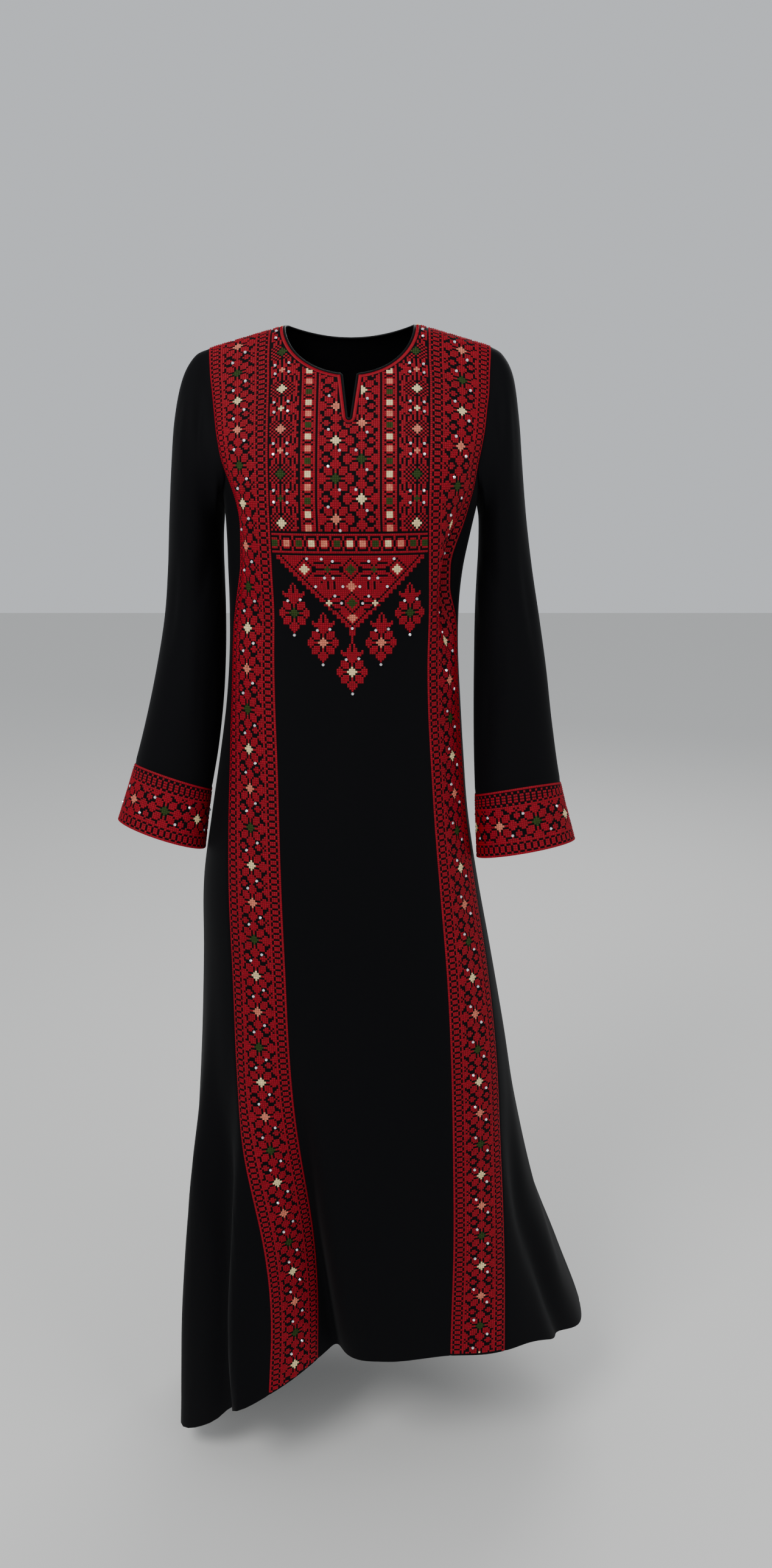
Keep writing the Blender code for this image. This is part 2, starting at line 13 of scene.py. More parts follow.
import bpy
import numpy as np
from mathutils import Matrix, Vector


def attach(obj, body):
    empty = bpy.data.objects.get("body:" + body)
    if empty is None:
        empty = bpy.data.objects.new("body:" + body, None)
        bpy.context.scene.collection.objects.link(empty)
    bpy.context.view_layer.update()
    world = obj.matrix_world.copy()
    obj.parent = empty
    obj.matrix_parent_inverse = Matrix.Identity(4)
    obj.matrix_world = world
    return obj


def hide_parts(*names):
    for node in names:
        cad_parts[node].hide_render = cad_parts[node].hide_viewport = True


# Left is at -X and right at +X
SIGN = {"left": -1, "right": 1}

# Embroidered panels: half the middle panel, and one strip of thirty stitches
MIDDLE_HALF = 0.0932
STRIP_WIDTH = 0.0750
MIDDLE_HALF_HEM = 0.1040
FLARE_START, FLARE_END = 14.0, 21.0

# Neck, slit and shoulder
NECK_HALF = 0.078
NECK_DEPTH_FRONT = 0.0595
NECK_DEPTH_BACK = 0.014
SLIT_HALF_TOP = 0.0100
SLIT_HALF_BOTTOM = 0.0034
SLIT_LENGTH = 0.046
PIPING_RADIUS = 0.0013
PIPING_DEPTH = 0.0006
PIPING_INWARD = 0.0011
SHOULDER_HALF = 0.172
SHOULDER_DROP = 0.0265
DROP_FADES_AT = -0.20
DROP_REACH = 1.1

# Armhole: it runs down the outer seam of the strip to the notch, then out to the side
NOTCH_LEVEL = -0.155
UNDERARM_LEVEL = -0.205
BACK_NOTCH_LEVEL = -0.120
BACK_HALF = 0.168

# Body sections from the shoulder seam to below the hem, in millimetres. left and right
# are where the side seams hang, front and back how far the cloth stands off the central
# plane, middle is where the middle of the front lies. corner_left and corner_right say how
# square the front is on each side, without a unit; the back keeps one squareness.
BODY_COLUMNS = ("level", "left", "right", "front", "back", "middle", "corner_left", "corner_right")
BODY = np.array([
    (0, -192, 190, 0, 0, -4, 2.6, 2.6),
    (-4, -191, 189, 20, 20, -4, 2.6, 2.6),
    (-16, -190, 188, 36, 36, -4, 2.6, 2.6),
    (-36, -188, 186, 53, 50, -4, 2.6, 2.6),
    (-60, -186, 183, 73, 62, -3, 2.6, 2.6),
    (-85, -183, 179, 93, 73, -3, 2.6, 2.6),
    (-110, -179, 175, 111, 82, -3, 2.7, 2.7),
    (-135, -174, 169, 127, 89, -3, 2.7, 2.7),
    (-155, -169, 163, 137, 93, -3, 2.7, 2.7),
    (-180, -163, 157, 145, 96, -3, 2.7, 2.7),
    (-205, -158, 151, 149, 98, -3, 2.7, 2.7),
    (-245, -156, 142, 147, 96, -2, 2.7, 2.8),
    (-285, -156, 134, 140, 92, -1, 2.7, 3.0),
    (-330, -156, 130, 133, 90, 0, 2.7, 3.0),
    (-385, -157, 130, 129, 92, -1, 3.1, 2.9),
    (-450, -163, 134, 130, 98, 0, 3.1, 2.8),
    (-520, -174, 139, 133, 106, 3, 2.9, 2.8),
    (-600, -188, 146, 138, 115, 6, 2.8, 3.0),
    (-690, -202, 160, 144, 124, 10, 2.7, 3.4),
    (-790, -206, 179, 151, 132, 15, 2.7, 3.8),
    (-900, -212, 199, 160, 141, 19, 2.7, 3.8),
    (-1020, -221, 219, 171, 151, 22, 2.7, 3.4),
    (-1150, -234, 248, 184, 163, 24, 2.8, 3.0),
    (-1280, -246, 294, 199, 176, 22, 2.9, 2.7),
    (-1380, -252, 330, 211, 186, 21, 2.9, 2.6),
    (-1480, -257, 352, 222, 195, 20, 2.9, 2.6),
])
BODY[:, :6] /= 1000
BACK_CORNER = 2.4
LEAST_FOLDED_DEPTH = 0.05

# Level of the hem round the skirt: angle 0 is the front, 90 the right side, 180 the back
HEM_ANGLES, HEM_LEVELS = np.array([
    (-180, -1.41), (-130, -1.43), (-90, -1.46), (-66, -1.478), (-52, -1.466),
    (-40, -1.412), (-30, -1.38), (-20, -1.352), (-10, -1.325), (0, -1.308),
    (45, -1.31), (60, -1.335), (80, -1.362), (90, -1.372), (130, -1.395),
    (180, -1.41),
]).T
HEM_TURNS = (-6.0, -3.0, 0.0, 3.0, 6.0)

# Soft folds of the body. A fold follows the oval's angle from its upper to its lower end;
# a positive depth is a trough, a negative one a ridge. Columns: upper and lower level, the
# length over which it fades at both, upper and lower angle, half width and depth.
FOLDS = np.array([
    (-0.18, -0.4, 0.1, 56, 62, 9.0, 0.024),
    (-0.14, -0.36, 0.09, -62, -58, 7.0, 0.011),
    (-0.8, -1.9, 0.5, -17, -3, 6.5, 0.056),
    (-0.8, -1.9, 0.5, -34, -23, 7.0, -0.028),
    (-0.85, -1.9, 0.45, -46, -40, 6.0, 0.012),
    (-0.75, -1.9, 0.45, -62, -64, 8.0, -0.012),
    (-0.9, -1.9, 0.4, 12, 16, 9.0, 0.008),
    (-0.95, -1.9, 0.35, 62, 70, 8.0, 0.014),
    (-0.5, -1.9, 0.45, 118, 122, 10.0, 0.016),
    (-0.45, -1.9, 0.45, 150, 152, 9.0, 0.018),
    (-0.45, -1.9, 0.45, -150, -152, 9.0, 0.018),
    (-0.5, -1.9, 0.45, -118, -122, 10.0, 0.016),
])

# Sleeves from the armhole to the cuff's edge, in millimetres: x and z of the outer side
# line of the tube, x and z of its inner one, and how far the tube reaches before and
# behind the central plane.
SLEEVES = {
    "left": [
        (-176, -26.5, -158, -205, -70, 60),
        (-192.5, -35, -161, -213, -71, 60),
        (-206, -60, -161, -225, -71, 58),
        (-215.5, -105, -162.5, -245, -70, 55),
        (-222, -164, -163, -270, -68, 50),
        (-227, -225, -162.5, -300, -67, 44),
        (-231, -285, -162, -342, -68, 37),
        (-237, -344, -163, -392, -72, 29),
        (-249, -408, -166.5, -448, -78, 19),
        (-264.5, -474, -174, -509, -86, 9),
        (-282, -536, -185, -570, -94, 0),
        (-305.5, -606, -195.5, -646, -104, -3),
    ],
    "right": [
        (170, -26.5, 151, -205, -70, 60),
        (183, -35, 152, -213, -71, 60),
        (193.5, -58, 153.5, -225, -71, 58),
        (199.5, -105, 154, -245, -70, 55),
        (205, -164, 153.5, -270, -68, 50),
        (211.5, -225, 152, -300, -67, 44),
        (220, -285, 150.5, -342, -68, 37),
        (230, -344, 150, -395, -73, 28),
        (240, -408, 150, -455, -80, 17),
        (249, -478, 151, -518, -88, 7),
        (261.5, -553, 153.5, -583, -96, -2),
        (281.5, -627, 157, -662, -106, -6),
    ],
}
BEND_ROWS = 3.5
CUFF_ROW = 10.0
CUFF_HEIGHT = 0.0795
HEM_SECTION = 23.25
FLOOR_LEVEL = -1.515


def spline(values, place, mirrored=False):
    """Smooth curve through values at 0, 1, 2 and so on, read at place. A mirrored
    column changes its sign over the first value, an even one has no slope there."""
    before = -values[1] if mirrored else values[1]
    padded = np.concatenate([[before], values, [2 * values[-1] - values[-2]]])
    place = np.clip(place, 0, len(values) - 1)
    low = np.minimum(place.astype(int), len(values) - 2)
    share = place - low
    p0, p1, p2, p3 = padded[low], padded[low + 1], padded[low + 2], padded[low + 3]
    return 0.5 * (
        2 * p1
        + (p2 - p0) * share
        + (2 * p0 - 5 * p1 + 4 * p2 - p3) * share**2
        + (3 * p1 - p0 - 3 * p2 + p3) * share**3
    )


def unit(vectors, least=0.0):
    """Vectors at length 1; least keeps one of no length from a division by zero."""
    return vectors / (np.linalg.norm(vectors, axis=-1, keepdims=True) + least)


def run_along(points):
    """Distance along a line of points from the first one to each."""
    return np.concatenate([[0], np.cumsum(np.linalg.norm(np.diff(points, axis=0), axis=1))])


def body_column(name, section):
    """One column of BODY, read smoothly at a section."""
    values = BODY[:, BODY_COLUMNS.index(name)]
    return spline(values, section, mirrored=name in ("front", "back"))


def smooth_step(share):
    """0 below 0, 1 above 1, and an even S between."""
    share = np.clip(share, 0, 1)
    return share * share * (3 - 2 * share)


@lru_cache(maxsize=None)
def fine_levels():
    """A fine scale of sections, and their levels counted downwards."""
    fine = np.linspace(0, len(BODY) - 1, 2501)
    return fine, -body_column("level", fine)


def section_at(level):
    """The section whose level this is, found on the fine scale."""
    fine, depths = fine_levels()
    return np.interp(-np.asarray(level, float), depths, fine)


def fold_depth(angle, level):
    """Sum of the folds at an angle in degrees and a level: a bell across each fold,
    which fades in and out along it."""
    total = np.zeros(np.broadcast(angle, level).shape)
    for upper, lower, fade, angle_up, angle_low, half_width, depth in FOLDS:
        along = np.clip((upper - level) / (upper - lower), 0, 1)
        across = (angle - (angle_up + (angle_low - angle_up) * along)) / half_width
        window = smooth_step((upper - level) / fade) * smooth_step((level - lower) / fade)
        total = total + depth * np.exp(-(across**2)) * window
    return total


def oval(section, degrees):
    """Outer face of the body at a section and an angle: an oval between an ellipse and
    a box, pushed in by the folds, with the shoulders sloping down from the neck."""
    level, left, right, front, back, _, corner_left, corner_right = (
        body_column(name, section) for name in BODY_COLUMNS
    )
    side, ahead = np.sin(np.radians(degrees)), np.cos(np.radians(degrees))
    power = 2 / np.where(ahead > 0, np.where(side > 0, corner_right, corner_left), BACK_CORNER)
    across = np.sign(side) * np.abs(side) ** power
    away = np.sign(ahead) * np.abs(ahead) ** power
    depth = np.where(ahead > 0, front, back)
    turned = (degrees + 180) % 360 - 180
    pushed = 1 - fold_depth(turned, level) / np.maximum(depth, LEAST_FOLDED_DEPTH)
    x = (left + right) / 2 + (right - left) / 2 * across * pushed
    outwards = (np.abs(x) - NECK_HALF) / (SHOULDER_HALF - NECK_HALF)
    fade = smooth_step((level - DROP_FADES_AT) / -DROP_FADES_AT)
    z = level - SHOULDER_DROP * np.clip(outwards, 0, DROP_REACH) * fade
    return np.stack([x, -depth * away * pushed, z], -1)


def middle_half(section):
    """Half the width of the middle panel, which flares from the hip to the hem."""
    share = smooth_step((section - FLARE_START) / (FLARE_END - FLARE_START))
    return MIDDLE_HALF + (MIDDLE_HALF_HEM - MIDDLE_HALF) * share


def neck_level(arc, back):
    """Level of the round neckline at an arc: half an ellipse seen from the front, and
    behind it a shallow bow."""
    bow = np.clip(1 - (arc / NECK_HALF) ** 2, 0, 1)
    return -NECK_DEPTH_BACK * bow if back else -NECK_DEPTH_FRONT * np.sqrt(bow)


def slit_drop(arc):
    """How far the slit reaches below the neckline at an arc, round at its foot."""
    arc = np.abs(arc)
    straight = SLIT_LENGTH * (SLIT_HALF_TOP - arc) / (SLIT_HALF_TOP - SLIT_HALF_BOTTOM)
    foot = SLIT_LENGTH + np.sqrt(np.clip(SLIT_HALF_BOTTOM**2 - arc**2, 0, None))
    return np.where(arc < SLIT_HALF_BOTTOM, foot, np.clip(straight, 0, None))


def armhole_share(level, notch):
    """How far the armhole has run from the strip's seam, 0, to the side seam, 1."""
    down = np.clip((notch - level) / (notch - UNDERARM_LEVEL), 0, 1)
    return 1 - np.sqrt(1 - down**2)


def hem_level(angle):
    """Level of the hem at an angle, a mean over a few degrees that rounds its corners."""
    return sum(np.interp(angle + t, HEM_ANGLES, HEM_LEVELS) for t in HEM_TURNS) / len(HEM_TURNS)


def spline_open(values, place):
    """The same curve for a column that is simply carried on at both ends."""
    return spline(np.concatenate([[2 * values[0] - values[1]], values]), place + 1)


# Scale of the lookup tables of the body
SECTION_STEP = 1 / 40
ARC_STEP = 0.001
ARC_REACH = 0.56

# Keeps a vector of no length from a division by zero
TINY = 1e-12

# Cloth: thickness, the turned hem, the groove along a seam, and the grids of the panels
CLOTH = 0.0006
HEM_TURN = 0.020
HEM_EXTRA = 0.0007
GROOVE_DEPTH = 0.0007
GROOVE_WIDTH = 0.0018
SHOULDER_SECTION = 0.020  # Cloth between two sections next to the shoulder seam
CREASES_START = 3  # Sections from the shoulder seam over which the creases begin
HEM_SECTION_LENGTH = 0.1  # Cloth between two sections next to the hem
HEM_DETAIL = 0.002  # Length over which the hem's extra thickness ends
SEAM_LAP = 0.0005  # How far front and back reach past the side seam
ROW_PITCH = 0.0065  # Cloth between two rows of a panel's grid
COLUMN_PITCH = 0.005  # About the cloth between two of its columns
BLEND_ROWS = 60  # Rows over which the shift of a grid's end fades
SLEEVE_TURNS = 96  # Places round a sleeve

# Creases of the cloth beyond the large folds: upper and lower end, place at each of them,
# half width and height. On the body the ends are levels, the places arcs, and all of them
# millimetres. A ridge has a positive height, a trough a negative one.
FRONT_CREASES = np.array([
    (-200, -420, -150, -85, 13, -2.2),
    (-225, -400, -170, -120, 10, 1.8),
    (-215, -350, 150, 110, 12, -2),
    (-240, -470, 158, 135, 14, 2),
    (-330, -640, -20, -45, 22, -1.6),
    (-360, -700, 42, 60, 26, -1.8),
    (-450, -900, 5, 12, 30, 2),
    (-400, -760, -135, -150, 16, -1.8),
    (-520, -980, 140, 150, 18, -2),
    (-620, -1320, -48, -30, 24, -2.4),
    (-700, -1330, 62, 78, 26, -2.6),
    (-780, -1400, 200, 235, 22, -3),
    (-700, -1450, -215, -255, 20, -3),
    (-900, -1480, -290, -320, 22, 2.8),
    (-960, -1420, 280, 330, 24, 3),
    (-640, -1050, 100, 96, 18, 1.4),
]) / 1000
BACK_CREASES = np.array([
    (-120, -330, -120, -70, 14, -2.2),
    (-140, -350, 125, 80, 12, -2),
    (-200, -460, 30, 20, 18, 1.8),
    (-300, -620, -30, -45, 20, -2),
    (-340, -660, 85, 100, 18, -2.2),
    (-480, -980, -110, -140, 22, 2.6),
    (-520, -1100, 20, 35, 24, -2.6),
    (-700, -1350, 150, 200, 24, 3),
    (-760, -1400, -210, -260, 24, -3),
    (-860, -1430, -60, -80, 26, 2.8),
    (-900, -1440, 270, 330, 24, -3),
]) / 1000
# On a sleeve the ends are rows of its table, the places and widths degrees, and the
# heights metres
SLEEVE_CREASES = {
    "left": (
        (0.2, 2.6, 62, 100, 11, -0.0030),
        (0.4, 3.2, 118, 150, 12, 0.0028),
        (0.6, 4.2, 30, 52, 12, -0.0016),
        (3.6, 6.6, 140, 96, 12, -0.0030),
        (4.2, 7.2, 165, 128, 11, 0.0026),
        (4.8, 8.2, 60, 44, 13, -0.0022),
        (6.2, 9.6, 92, 104, 14, 0.0022),
        (6.8, 9.9, 130, 150, 12, -0.0020),
        (1.0, 4.4, 250, 225, 13, -0.0028),
        (3.8, 7.4, 300, 262, 14, 0.0026),
        (5.0, 9.2, 222, 236, 12, -0.0024),
        (6.4, 9.8, 318, 300, 13, -0.0022),
    ),
    "right": (
        (0.3, 2.8, 66, 96, 12, -0.0028),
        (0.5, 3.0, 122, 146, 11, 0.0026),
        (0.8, 4.6, 34, 58, 12, -0.0018),
        (3.4, 6.2, 146, 102, 12, -0.0028),
        (4.0, 7.0, 168, 134, 12, 0.0026),
        (4.6, 8.4, 52, 40, 13, -0.0024),
        (6.0, 9.4, 88, 98, 13, 0.0020),
        (7.0, 9.9, 124, 146, 13, -0.0022),
        (1.2, 4.6, 244, 222, 12, -0.0026),
        (3.6, 7.0, 296, 266, 13, 0.0026),
        (5.2, 9.4, 226, 242, 13, -0.0024),
        (6.2, 9.6, 322, 306, 12, -0.0020),
    ),
}

# How far the end of each sleeve is drawn up: all round, towards the body, and in front;
# and how far down the sleeve the armhole, the cuff's seam and the cuff's edge are
CUFF_LIFT = {"left": (0.006, 0.000, 0.009), "right": (0.005, 0.005, 0.010)}
SLEEVE_RUN = (0.0, 0.54, 0.62)
# Rows between which the drawing up sets in
LIFT_START, LIFT_FULL = 5, 9

# Stitches of the middle panel, whose charts count rows from the band below the chest
MIDDLE_PITCH = 0.00243
MIDDLE_ROW = 0.0025
MIDDLE_COLUMNS = 83
MIDDLE_COLUMN = 41
BAND_LEVEL = -0.2332
# Stitches of the embroidered band of the strips, turned round in the cuffs
BAND_COLUMNS = 30
STRIP_PITCH = STRIP_WIDTH / BAND_COLUMNS
STAR_ROWS = 18  # Rows from one star to the next
STAR_COLUMN = 15.5
CUFF_STITCHES = 126  # Number round a cuff
# Threads: width, length in a crossed stitch and in the satin line, distance between two
# satin stitches, and height of the feet above the cloth
THREAD_WIDTH = 0.0006
THREAD_LENGTH = 0.0033
SATIN_LENGTH = 0.0044
SATIN_PITCH = 0.00055
STITCH_LIFT = 0.0001
# Stones: width on the strips and cuffs and on the middle panel, height of the feet above
# the cloth, spread of their tilt, and spread of a strip's stones round their places
STONE = 0.0040
MIDDLE_STONE = 0.0038
STONE_LIFT = 0.0008
STONE_TILT = 0.11
STONE_SPREAD = 0.35

# Bare cloth of the middle panel: beside the neckline, for stitches and for stones, below
# the shoulder seam, and beside the strips
STITCH_CLEARANCE = 0.0058
STONE_CLEARANCE = 0.0075
SHOULDER_BARE = 0.004
SEAM_BARE = 0.0012
# Bare cloth of the strips, for stitches and for stones: below the shoulder seam, and above
# the hem in sections
STITCHES_BARE = (0.0015, 0.02)
STONES_BARE = (0.006, 0.05)

# Steps over which directions are taken: on the body, in sections and metres, and on a
# sleeve, in rows and degrees
BODY_STEPS = (0.01, 0.0008)
SLEEVE_STEPS = (0.01, 0.4)

# Charts: X is a red stitch, C a coloured one, . the bare cloth
CHAIN = (".XXX.", ".XXX.", "X...X")
STRIP_FLOWERS = (
    "XXXXXXCCCCCXXXXX",
    "XXXX...CCC...XXX",
    ".XX.XXX.C.XXX.XX",
    "...XXXX.X.XXXX..",
    "X..XXXX.X.XXXX.X",
    "XX.XXX.XXX.XXX.X",
    "XXX...XXXXX...XX",
    "XX....XXXXX....X",
    ".X.XX..XXX..XX.X",
    "X.XXXX..X..XXXX.",
)
# A quarter of one flower, its star at the first place, and the half flower at an edge
FLOWER = (
    "CCCXXXXXX",
    "CC...XXXX",
    "C.XXX.XX.",
    "X.XXXX...",
    "X.XXXX...",
    "XX.XXX...",
    "XXX......",
    "XXX......",
    "XX.......",
    "X........",
)
EDGE_FLOWER = ("X.XXXX", ".X.XX.", "XX....", "XXX...", "XX....", "X.....")
SQUARES = ("XXCCCXX", "XXCCCXX", "XXCCCXX", "X.XXX.X", "XX...XX", "X.XXX.X")
DIAMOND = (
    "CCC.X.XX.",
    "CC.X.X.X.",
    "C.X.X.XXX",
    ".X.X.XXX.",
    "..X.X.XX.",
    ".X.XX.X.X",
    ".X.XX.X.X",
    ".X.X..X.X",
    ".XX.XX.XX",
    ".XX..XXXX",
    "CX.XXXXX.",
    "CC.XXXX..",
)
BAND = (
    "XXXXXX",
    "X.....",
    "X.XXX.",
    ".XCCCX",
    ".XCCCX",
    ".XCCCX",
    "X.XXX.",
    "X.....",
    "XXXXXX",
)
CROWN = (
    "......X......",
    ".....X.X.....",
    ".....X.X.....",
    "....XX.XX....",
    ".X..XX.XX..X.",
    ".XXXXX.XXXXX.",
    "..XXX...XXX..",
)
# How far down the cloth some of the stars of a strip stand, counted from the uppermost
STRIP_STAR_PLACES = {
    "left": (
        (-1, -0.0110), (0, 0.0269), (3, 0.1436), (5, 0.2291), (7, 0.3263), (13, 0.6204),
        (19, 0.9076), (24, 1.1426), (29, 1.3610), (34, 1.5800),
    ),
    "right": (
        (-1, -0.0030), (0, 0.0366), (2, 0.1214), (5, 0.2571), (8, 0.4041), (13, 0.6433),
        (19, 0.9288), (24, 1.1444), (28, 1.3129), (34, 1.5700),
    ),
}
# Columns and rows from a star of a strip to the two stones beside it
STRIP_STONES = {"left": ((3.9, 6.4), (-2.3, -7.2)), "right": ((3.5, 5.0), (-3.4, -4.6))}
# Row of the band at the first stitch of a cuff's round
CUFF_PHASE = {"left": -77, "right": 106}
# Column, and rows from the nearest star, of the stones on a cuff
CUFF_STONES = ((10, -6), (20, 6))
# Columns of the stars of the chest's field, each with the columns and rows to its two
# stones, and middle columns of the diamonds
FIELD_STONES = ((35, ((-3.4, -6.4), (1.8, 4.1))), (47, ((-2.6, -14.0), (2.5, -4.9))))
DIAMOND_MIDDLES = (9, 73)
# Columns from the middle and rows from the top of the triangle's stones on either side
TRIANGLE_STONES = (
    (8.5, 2), (13.5, 1), (20.5, 1), (8.5, 10), (12.5, 10), (17, 14), (4, 14), (8, 18.5), (5, 22),
)
# Columns and rows from the middle of a medallion to its three stones
MEDALLION_STONES = ((0, 10.5), (-2.8, -6), (3.3, -6.5))
# Columns from the middle, rows from the top and colours of the triangle's small diamonds
TRIANGLE_DIAMONDS = ((0, 6, "G"), (0, 14, "P"), (0, 22, "G"), (0, 29, "P"), (22, 6, "C"))
# First row of the triangle, from which the medallions are placed too
TRIANGLE_ROW = 10
# Order of the threads, and of the colours of the coloured stitches from repeat to
# repeat: X red, G green, P peach, C cream
THREADS = "XGPC"
STRIP_STARS = "PGC"
FIELD_LEFT_STARS = "PGCP"
FIELD_RIGHT_STARS = "CGPC"
BAND_SQUARES = "GPGCPGCPGCPGG"
# Column and row of the middle of each medallion, and the colour of its star
MEDALLIONS = ((-28, 27, "G"), (-14, 41, "P"), (0, 55, "C"), (14, 41, "P"), (28, 27, "G"))


@lru_cache(maxsize=None)
def half_body(back):
    """Points of the front or back half on an even scale of sections and arcs, their
    outward directions, the arcs of both side seams, and the turn of each arc at the hem."""
    sections = np.arange(0, len(BODY) - 1 + SECTION_STEP / 2, SECTION_STEP)
    degrees = np.linspace(-91, 91, 721)
    points = oval(sections[:, None], (180 - degrees if back else degrees)[None])
    steps = np.hypot(np.diff(points[..., 0]), np.diff(points[..., 1]))
    arcs = np.concatenate([np.zeros((len(sections), 1)), np.cumsum(steps, axis=1)], axis=1)
    middles = body_column("middle", sections)
    zero = [np.interp(m, p, a) for m, p, a in zip(middles, points[..., 0], arcs)]
    arcs -= np.array(zero)[:, None]
    scale = np.arange(-ARC_REACH, ARC_REACH + ARC_STEP / 2, ARC_STEP)
    table = np.stack(
        [[np.interp(scale, a, p) for a, p in zip(arcs, points[..., axis])] for axis in range(3)],
        -1,
    )
    down, over = np.gradient(table, axis=0), np.gradient(table, axis=1)
    normals = np.cross(over, down) if back else np.cross(down, over)
    normals[0, :, 1] = 0
    normals = unit(normals, TINY)
    sides = np.array([[np.interp(90.0 * sign, degrees, a) for a in arcs] for sign in (-1, 1)])
    at_hem = arcs[int(round(HEM_SECTION / SECTION_STEP))]
    return table, normals, sections, sides, (at_hem, degrees)


def read(table, sections, arcs):
    """A table of half_body between its places, in proportion both ways."""
    row = np.clip(sections / SECTION_STEP, 0, table.shape[0] - 1.001)
    column = np.clip((arcs + ARC_REACH) / ARC_STEP, 0, table.shape[1] - 1.001)
    i, j = row.astype(int), column.astype(int)
    s, t = (row - i)[..., None], (column - j)[..., None]
    upper = table[i, j] * (1 - t) + table[i, j + 1] * t
    lower = table[i + 1, j] * (1 - t) + table[i + 1, j + 1] * t
    return upper * (1 - s) + lower * s


def side_arc(sections, back, sign):
    """Arc of the side seam at sections, sign -1 for left and 1 for right."""
    _, _, scale, sides, _ = half_body(back)
    return np.interp(sections, scale, sides[(sign + 1) // 2])


def crease_height(creases, place, along_place):
    """Sum of creases: each runs from its upper to its lower end, swells and fades by a
    squared sine, and has one flank steeper than the other."""
    total = np.zeros(np.broadcast(place, along_place).shape)
    for upper, lower, place_up, place_low, half_width, height in creases:
        along = np.clip((upper - along_place) / (upper - lower), 0, 1)
        across = (place - (place_up + (place_low - place_up) * along**1.2)) / half_width
        across = across * (1 + 0.3 * np.tanh(across))
        total = total + height * np.sin(np.pi * along) ** 2 * np.exp(-(across**2))
    return total


def groove(distance):
    """How far a seam draws the cloth in at a distance from it: a narrow bell."""
    return -GROOVE_DEPTH * np.exp(-((distance / GROOVE_WIDTH) ** 2))


def cloth(sections, arcs, back=False):
    """The creased outer face of the body."""
    sections, arcs = np.broadcast_arrays(np.asarray(sections, float), np.asarray(arcs, float))
    table, normals, _, _, _ = half_body(back)
    level = body_column("level", sections)
    height = crease_height(BACK_CREASES if back else FRONT_CREASES, arcs, level)
    height = height * smooth_step(sections / CREASES_START)
    side = np.where(arcs > 0, side_arc(sections, back, 1), -side_arc(sections, back, -1))
    height = height + groove(np.abs(arcs) - side) + groove(sections * SHOULDER_SECTION)
    if not back:
        inner = np.abs(arcs) - middle_half(sections)
        height = height + groove(inner) + groove(inner - STRIP_WIDTH)
    outward = unit(read(normals, sections, arcs), TINY)
    return read(table, sections, arcs) + outward * height[..., None]


def down_the_cloth(arc):
    """Sections on a fine scale and the true distance down the front to each."""
    fine = np.linspace(0, len(BODY) - 1, 2500)
    table = half_body(False)[0]
    return fine, run_along(read(table, fine, np.full(fine.shape, float(arc))))


def hem_section(arcs, back=False):
    """Section of the hem below each arc."""
    at_hem, degrees = half_body(back)[4]
    angle = np.interp(arcs, at_hem, degrees)
    if back:
        angle = (360 - angle) % 360 - 180
    return section_at(hem_level(angle))


def panel_top(arc, back):
    """Section where the front or back ends above, at its neckline, slit or shoulder."""
    level = neck_level(arc, back) - (0 if back else slit_drop(arc))
    return np.where(np.abs(arc) < NECK_HALF, section_at(level), 0.0)


def armhole_arc(sections, back, sign):
    """Arc of the armhole's edge at sections, or of the side seam below it."""
    side = side_arc(sections, back, sign)
    level = body_column("level", sections)
    near = BACK_HALF if back else MIDDLE_HALF + STRIP_WIDTH
    share = armhole_share(level, BACK_NOTCH_LEVEL if back else NOTCH_LEVEL)
    return sign * near + (side - sign * near) * share


def armhole_points(sign, degrees):
    """The armhole's edge. 0 is the shoulder, 90 the front, 180 the underarm."""
    sections = section_at(UNDERARM_LEVEL * (1 - np.cos(np.radians(degrees))) / 2)
    ahead = cloth(sections, armhole_arc(sections, False, sign))
    behind = cloth(sections, armhole_arc(sections, True, sign), True)
    return np.where((degrees % 360 > 180)[..., None], behind, ahead)


def sleeve_frame(side, rows, degrees):
    """Ovals between the two side lines of a sleeve, and their middles."""
    outer_x, outer_z, inner_x, inner_z, front, back = (
        spline_open(np.array(column) / 1000, rows) for column in zip(*SLEEVES[side])
    )
    turn, ahead = np.cos(np.radians(degrees)), np.sin(np.radians(degrees))
    middle = np.stack([(outer_x + inner_x) / 2, (front + back) / 2, (outer_z + inner_z) / 2], -1)
    x = (outer_x - inner_x) / 2 * turn
    z = (outer_z - inner_z) / 2 * turn
    y = (front - back) / 2 * ahead
    return middle + np.stack([x, y, z], -1), middle


def sleeve(side, rows, degrees):
    """The creased outer face of a sleeve: its ovals, the first of which is bent to the
    armhole's edge; the bend fades over the next rows."""
    rows, degrees = np.broadcast_arrays(np.asarray(rows, float), np.asarray(degrees, float))
    turn, ahead = np.cos(np.radians(degrees)), np.sin(np.radians(degrees))
    around, inner, front = CUFF_LIFT[side]
    reached = smooth_step((rows - LIFT_START) / (LIFT_FULL - LIFT_START))
    lift = (around - inner * turn + front * np.maximum(ahead, 0)) * reached
    marks = (0, CUFF_ROW, CUFF_ROW + 1)
    lifted = np.interp(np.interp(rows, marks, SLEEVE_RUN) - lift, SLEEVE_RUN, marks)
    points, middle = sleeve_frame(side, lifted, degrees)
    first, _ = sleeve_frame(side, np.zeros(rows.shape), degrees)
    bend = armhole_points(SIGN[side], degrees) - first
    points = points + bend * (1 - smooth_step(rows / BEND_ROWS))[..., None]
    height = crease_height(SLEEVE_CREASES[side], degrees % 360, rows)
    height = height * smooth_step(rows) + groove((rows - CUFF_ROW) * CUFF_HEIGHT)
    return points + unit(points - middle) * height[..., None]


def both_sides(*parts):
    """Columns of the right side, joined and set on both sides of the first one."""
    right = np.concatenate(parts)
    return np.concatenate([-right[:0:-1], right])


